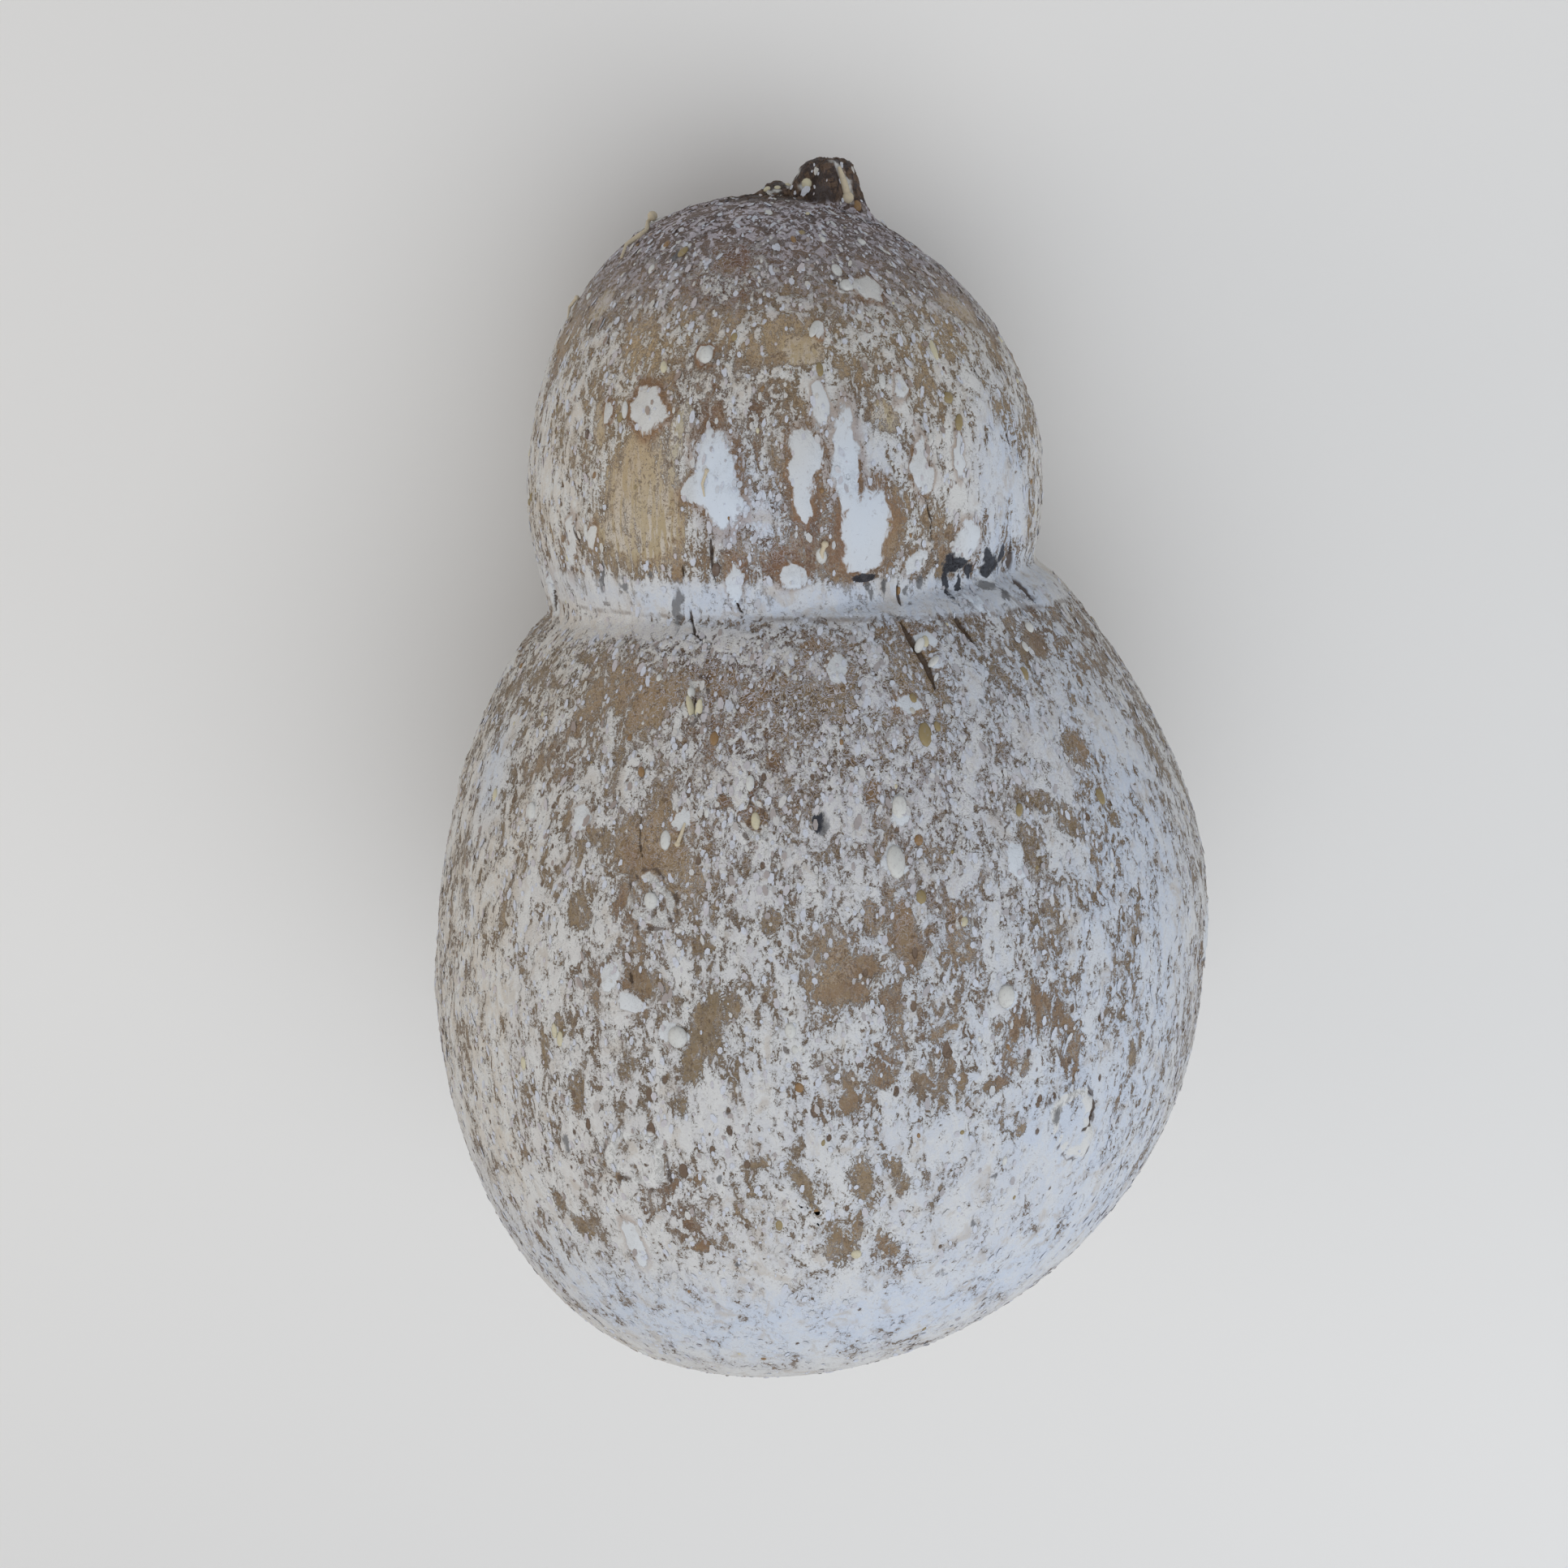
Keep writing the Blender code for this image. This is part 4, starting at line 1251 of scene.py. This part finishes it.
# %% Bead places
# Pixel, half width and half height in pixels, lean, tone from 0 cream to 1 dark
BEADS = (
    (851, 872, 4, 15, 8, 0.1), (861, 875, 4, 13, -6, 0.1), (852, 853, 5, 6, 0, 0.3),
    (1031, 333, 6, 9, 0, 0.3), (1043, 352, 9, 9, 0, 0.4), (1003, 405, 5, 12, 0, 0.3),
    (870, 437, 8, 10, 0, 0.3), (818, 452, 4, 7, 0, 0.1), (1087, 470, 4, 9, 0, 0.3),
    (1150, 430, 4, 14, 0, 0.1), (1168, 490, 6, 7, 0, 0.6), (988, 287, 4, 4, 0, 0.6),
    (931, 1012, 5, 10, 6, 0.1), (1140, 905, 8, 14, -10, 0.6), (1125, 860, 4, 6, 0, 0.6),
    (1155, 895, 4, 6, 0, 0.6), (1268, 773, 6, 7, 0, 0.3), (1133, 795, 5, 9, -20, 0.3),
    (1140, 790, 4, 7, 0, 0.1), (1150, 815, 5, 8, -20, 0.3), (820, 1035, 6, 11, 0, 0.3),
    (655, 1000, 6, 11, 0, 0.3), (1108, 995, 8, 13, 0, 0.3), (1104, 1062, 10, 18, 0, 0.3),
    (1132, 1035, 5, 6, 0, 0.8), (1135, 1105, 6, 8, 0, 0.6), (1187, 1135, 5, 6, 0, 0.1),
    (835, 1278, 11, 12, 0, 0.3), (683, 1270, 4, 9, 0, 0.1), (690, 1280, 4, 9, 0, 0.1),
    (645, 1310, 4, 8, 0, 0.1), (1240, 1228, 9, 13, 0, 0.3), (980, 1293, 4, 5, 0, 0.3),
    (985, 1340, 5, 6, 0, 0.8), (960, 1510, 4, 7, 0, 0.6), (1055, 1545, 6, 6, 0, 0.1),
    (974, 1270, 6, 9, 0, 0.3), (1355, 980, 6, 11, 0, 0.6), (802, 1110, 8, 10, 0, 0.4),
    (994, 226, 6, 6, 0, 0.1), (972, 229, 5, 5, 0, 0.1), (945, 233, 5, 4, 0, 0.1), (958, 231, 4, 3, 0, 0.1),
    (1012, 685, 6, 9, 10, 0.3), (1062, 298, 5, 5, 0, 0.3), (905, 415, 4, 5, 0, 0.6),
    (770, 505, 4, 10, 0, 0.3), (1010, 455, 4, 9, 0, 0.6), (722, 655, 4, 10, 0, 0.3),
    (1262, 830, 5, 9, 0, 0.6), (880, 910, 5, 8, 0, 0.8),
)
SMALL_BEADS = 260
SMALL_BEAD_SEED = 21
BEAD_HEIGHTS = (4, 178)
# How many of the beads drawn for the belly are kept, then sizes in mm, stretch, and lean in degrees
BELLY_SHARE = 0.25
SMALLEST_BEAD = 0.22
BEAD_SPREAD = 0.5
BEAD_STRETCH = (1.0, 2.0)
BEAD_LEAN = 20


def small_beads(count):
    """Drawn beads: place, half sizes in mm, lean and tone. More of them near the crown."""
    made = []
    pick = np.random.default_rng(SMALL_BEAD_SEED)
    while len(made) < count:
        up = pick.uniform(*BEAD_HEIGHTS)
        if pick.random() > BELLY_SHARE + (1 - BELLY_SHARE) * (up / BEAD_HEIGHTS[1]) ** 2:
            continue
        place = by_angle(pick.uniform(0, 360), up)
        size = SMALLEST_BEAD + BEAD_SPREAD * pick.random() ** 3
        length = size * pick.uniform(*BEAD_STRETCH)
        made.append((place, size, length, pick.uniform(-BEAD_LEAN, BEAD_LEAN), pick.random()))
    return made


skin = skin_tree(rind)
placed = [(by_pixel(x, y), w / PIXELS_PER_MM, h / PIXELS_PER_MM, lean, tone)
          for x, y, w, h, lean, tone in BEADS]
bead_entries = placed + small_beads(SMALL_BEADS)
print("beads:", len(bead_entries))

# %% [markdown]
# ## One point for each bead
#
# A mesh of loose points holds the beads: each point carries a turn, a size and a tone, and a
# Geometry Nodes tree puts a smooth oval lump on it. That keeps the list apart from the shape.

# %% Beads
BEAD_RISE = 0.5
BEAD_TONES = ((0.0, paint(194, 187, 160)), (0.2, paint(198, 199, 196)), (0.5, paint(140, 124, 86)),
              (0.7, paint(134, 104, 66)), (0.9, paint(96, 78, 66)))


def bead_points(entries):
    """A mesh of loose points, one a bead, that carry its turn, its size and its tone."""
    mesh = bpy.data.meshes.new("bead points")
    mesh.from_pydata([entry[0][0] * MM for entry in entries], [], [])
    for name, kind in (("turn", "QUATERNION"), ("size", "FLOAT_VECTOR"), ("tone", "FLOAT")):
        mesh.attributes.new(name, kind, "POINT")
    turns, sizes, tones = (mesh.attributes[name] for name in ("turn", "size", "tone"))
    for index, (place, across, along, lean, tone) in enumerate(entries):
        skin_turn = Matrix((place[1], place[2], place[3])).transposed()
        spin = Matrix.Rotation(math.radians(lean), 3, "Z")
        turns.data[index].value = (skin_turn @ spin).to_quaternion()
        sizes.data[index].vector = (across, along, BEAD_RISE * min(across, along))
        tones.data[index].value = tone
    return bpy.data.objects.new("bead points", mesh)


def bead_tree(numbers, material):
    """A smooth oval lump on every point."""
    tree, given = geometry_tree("Fat beads", numbers)
    sheet = Wire(tree)
    cloud = sheet.node("GeometryNodeMeshToPoints", {}, {"Mesh": given["Geometry"]})
    lump = sheet.node("GeometryNodeMeshIcoSphere", {}, {"Radius": MM, "Subdivisions": 2})
    turn = sheet.node("GeometryNodeInputNamedAttribute", {"data_type": "QUATERNION"}, {"Name": "turn"})
    size = sheet.node("GeometryNodeInputNamedAttribute", {"data_type": "FLOAT_VECTOR"}, {"Name": "size"})
    size = sheet.node("ShaderNodeVectorMath", {"operation": "SCALE"},
                      {0: size, "Scale": given["Swelling"]})
    smooth = sheet.node("GeometryNodeSetShadeSmooth", {}, {"Geometry": lump})
    beads = sheet.node("GeometryNodeInstanceOnPoints", {}, {"Points": cloud, "Instance": smooth,
                       "Rotation": turn, "Scale": size})
    finish_lumps(sheet, beads, material)
    return tree


bead_look = toned_material("dried fat", BEAD_TONES, 0.5, 0.25)
bead_source = bead_points(bead_entries)
bead_numbers = {"Swelling": 1.0}
beads = scattered("fat_beads", bead_source, bead_tree(bead_numbers, bead_look), bead_numbers, bead_look)
bpy.data.objects.remove(bead_source)

# %% [markdown]
# ## Slivers
#
# Where the skin tore it curled up into thin pale slivers with a crumb at the tip. The largest
# stands off the crown's left edge. A sliver beside the outline is found out in the air, where its
# pixels' rays pass the skin, and the others a little above the skin.

# %% Sliver places
# Pixels along the sliver, height over the skin at each in mm, and half thickness in mm
SLIVERS = (
    (((766, 318), (773, 302), (787, 292), (797, 284), (798, 274), (804, 266)), (0.0,) * 6, 0.5),
    (((700, 392), (704, 380), (712, 368)), (0.0, 0.3, 0.2), 0.26),
    (((868, 612), (866, 596), (871, 580)), (0.0, 0.2, 0.0), 0.22),
    (((1014, 690), (1012, 680), (1016, 670)), (0.1, 0.4, 0.4), 0.34),
    (((844, 1014), (841, 1026), (835, 1040)), (0.0, 0.3, 0.1), 0.28),
    (((1033, 206), (1038, 224), (1044, 244)), (0.1, 0.2, 0.1), 0.6),
)
HIDDEN_SLIVERS = 12
SLIVER_SEED = 8
SLIVER_ANGLES = (190, 350)
SLIVER_HEIGHTS = (20, 172)
SLIVER_HALVES = (0.16, 0.3)
# Height over the skin at the three points of a drawn sliver, and the way from one to the next, in mm
SLIVER_RISES = (0.0, 0.3, 0.15)
SLIVER_STEP = 0.9


def in_front(x, y):
    """The place of a pixel, out in the air where its ray passes beside the skin."""
    if skin.ray_cast(CAMERA_PLACE, pixel_ray(x, y))[0] is not None:
        return by_pixel(x, y)
    spot, _, normal, _, _ = passing_by(x, y)
    return place_from_hit(spot, normal)


def hidden_sliver(pick):
    """The places and heights of one drawn sliver on a hidden side."""
    angle, up = pick.uniform(*SLIVER_ANGLES), pick.uniform(*SLIVER_HEIGHTS)
    steps = [(angle + pick.uniform(-1, 1) * step, up + SLIVER_STEP * step)
             for step in range(len(SLIVER_RISES))]
    return [by_angle(*step) for step in steps], SLIVER_RISES, pick.uniform(*SLIVER_HALVES)


pick = np.random.default_rng(SLIVER_SEED)
drawn = [hidden_sliver(pick) for _ in range(HIDDEN_SLIVERS)]
sliver_entries = [([in_front(*pixel) for pixel in pixels], rises, half) for pixels, rises, half in SLIVERS]
sliver_entries += drawn
print("slivers:", len(sliver_entries))

# %% [markdown]
# ## Slivers as thin curves
#
# Each sliver is a short curve with a round section that thins towards its ends. The curves are
# turned into a plain closed mesh, and a small round crumb is put on every tip.

# %% Slivers
SLIVER_ROUNDNESS = 2
SLIVER_TAPER = (0.5, 0.9, 1.0, 0.8, 0.6, 0.5)
SLIVER_SHADE = paint(196, 184, 160)
TIP_CRUMB = 1.5


def sliver_mesh(entries):
    """The mesh of all slivers, from one curve with a spline for each."""
    curve = bpy.data.curves.new("slivers", "CURVE")
    curve.dimensions = "3D"
    curve.bevel_depth = MM
    curve.bevel_resolution = SLIVER_ROUNDNESS
    curve.use_fill_caps = True
    for places, rises, half in entries:
        spline = curve.splines.new("POLY")
        spline.points.add(len(places) - 1)
        for point, place, rise, share in zip(spline.points, places, rises, SLIVER_TAPER):
            point.co = (*((place[0] + place[3] * rise) * MM), 1.0)
            point.radius = half * share
    round_lines = add_object("slivers", curve)
    graph = bpy.context.evaluated_depsgraph_get()
    mesh = bpy.data.meshes.new_from_object(round_lines.evaluated_get(graph))
    bpy.data.objects.remove(round_lines)
    return mesh


def add_tips(mesh, entries):
    """A round crumb at the end of every sliver."""
    tips = bmesh.new()
    tips.from_mesh(mesh)
    for places, rises, half in entries:
        tip = Matrix.Translation((places[-1][0] + places[-1][3] * rises[-1]) * MM)
        bmesh.ops.create_icosphere(tips, subdivisions=2, radius=half * TIP_CRUMB * MM, matrix=tip)
    tips.to_mesh(mesh)
    tips.free()


slivers = add_object("bloom_slivers", sliver_mesh(sliver_entries))
add_tips(slivers.data, sliver_entries)
slivers.data.attributes.new("tone", "FLOAT", "POINT")
slivers.data.materials.clear()
slivers.data.materials.append(toned_material("dry sliver", ((0.0, SLIVER_SHADE),), 0.9, 0.4))
slivers.data.polygons.foreach_set("use_smooth", [True] * len(slivers.data.polygons))
print("sliver triangles:", triangle_count(slivers))

# %% [markdown]
# ## Floor and light
#
# The cheese rests on a plain pale floor. The light is one large soft sheet above it, with a warm
# weaker one on the left, a cool weaker one at the right of the base, and a dim pale sky.

# %% Stage
FLOOR_SIDE = 3.0
FLOOR_COLOUR = paint(225, 224, 222)
SKY_COLOUR = (0.95, 0.97, 1.0)
SKY_STRENGTH = 0.45
CHEESE_MIDDLE = Vector((0, 0, 40 * MM))
# Name, place in mm, size in mm, watts, colour
LAMPS = (
    ("sky", (100, -60, 850), 900, 3.75, SKY_COLOUR),
    ("warm side", (-650, 60, 300), 400, 0.9, (1.0, 0.90, 0.78)),
    ("cool side", (600, -420, 260), 400, 1.3, (0.88, 0.93, 1.0)),
)


def plain_material(name, colour, roughness):
    """A material of one colour."""
    material = bpy.data.materials.new(name)
    material.use_nodes = True
    shader = material.node_tree.nodes["Principled BSDF"]
    shader.inputs["Base Color"].default_value = colour
    shader.inputs["Roughness"].default_value = roughness
    return material


bpy.ops.mesh.primitive_plane_add(size=FLOOR_SIDE)
floor = bpy.context.object
floor.name = "floor"
floor.data.materials.append(plain_material("pale floor", FLOOR_COLOUR, 0.8))


def add_lamp(name, place, size, watts, colour):
    """A square lamp that faces the middle of the cheese."""
    light = bpy.data.lights.new(name, "AREA")
    light.size = size * MM
    light.energy = watts
    light.color = colour
    lamp = add_object(name, light)
    lamp.location = Vector(place) * MM
    lamp.rotation_euler = (CHEESE_MIDDLE - lamp.location).to_track_quat("-Z", "Y").to_euler()


for lamp in LAMPS:
    add_lamp(*lamp)
world = bpy.data.worlds.new("studio")
bpy.context.scene.world = world
world.use_nodes = True
backdrop = world.node_tree.nodes["Background"]
backdrop.inputs["Color"].default_value = (*SKY_COLOUR, 1.0)
backdrop.inputs["Strength"].default_value = SKY_STRENGTH
bpy.context.scene.view_settings.view_transform = "Standard"

# %% [markdown]
# ## The rind in place of the solid
#
# The rind stands in for the plain solid, and everything scattered on it moves with it.

# %% Finish
for piece in (rind, grains, flakes, beads, slivers):
    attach(piece, "root")
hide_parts("cheese")
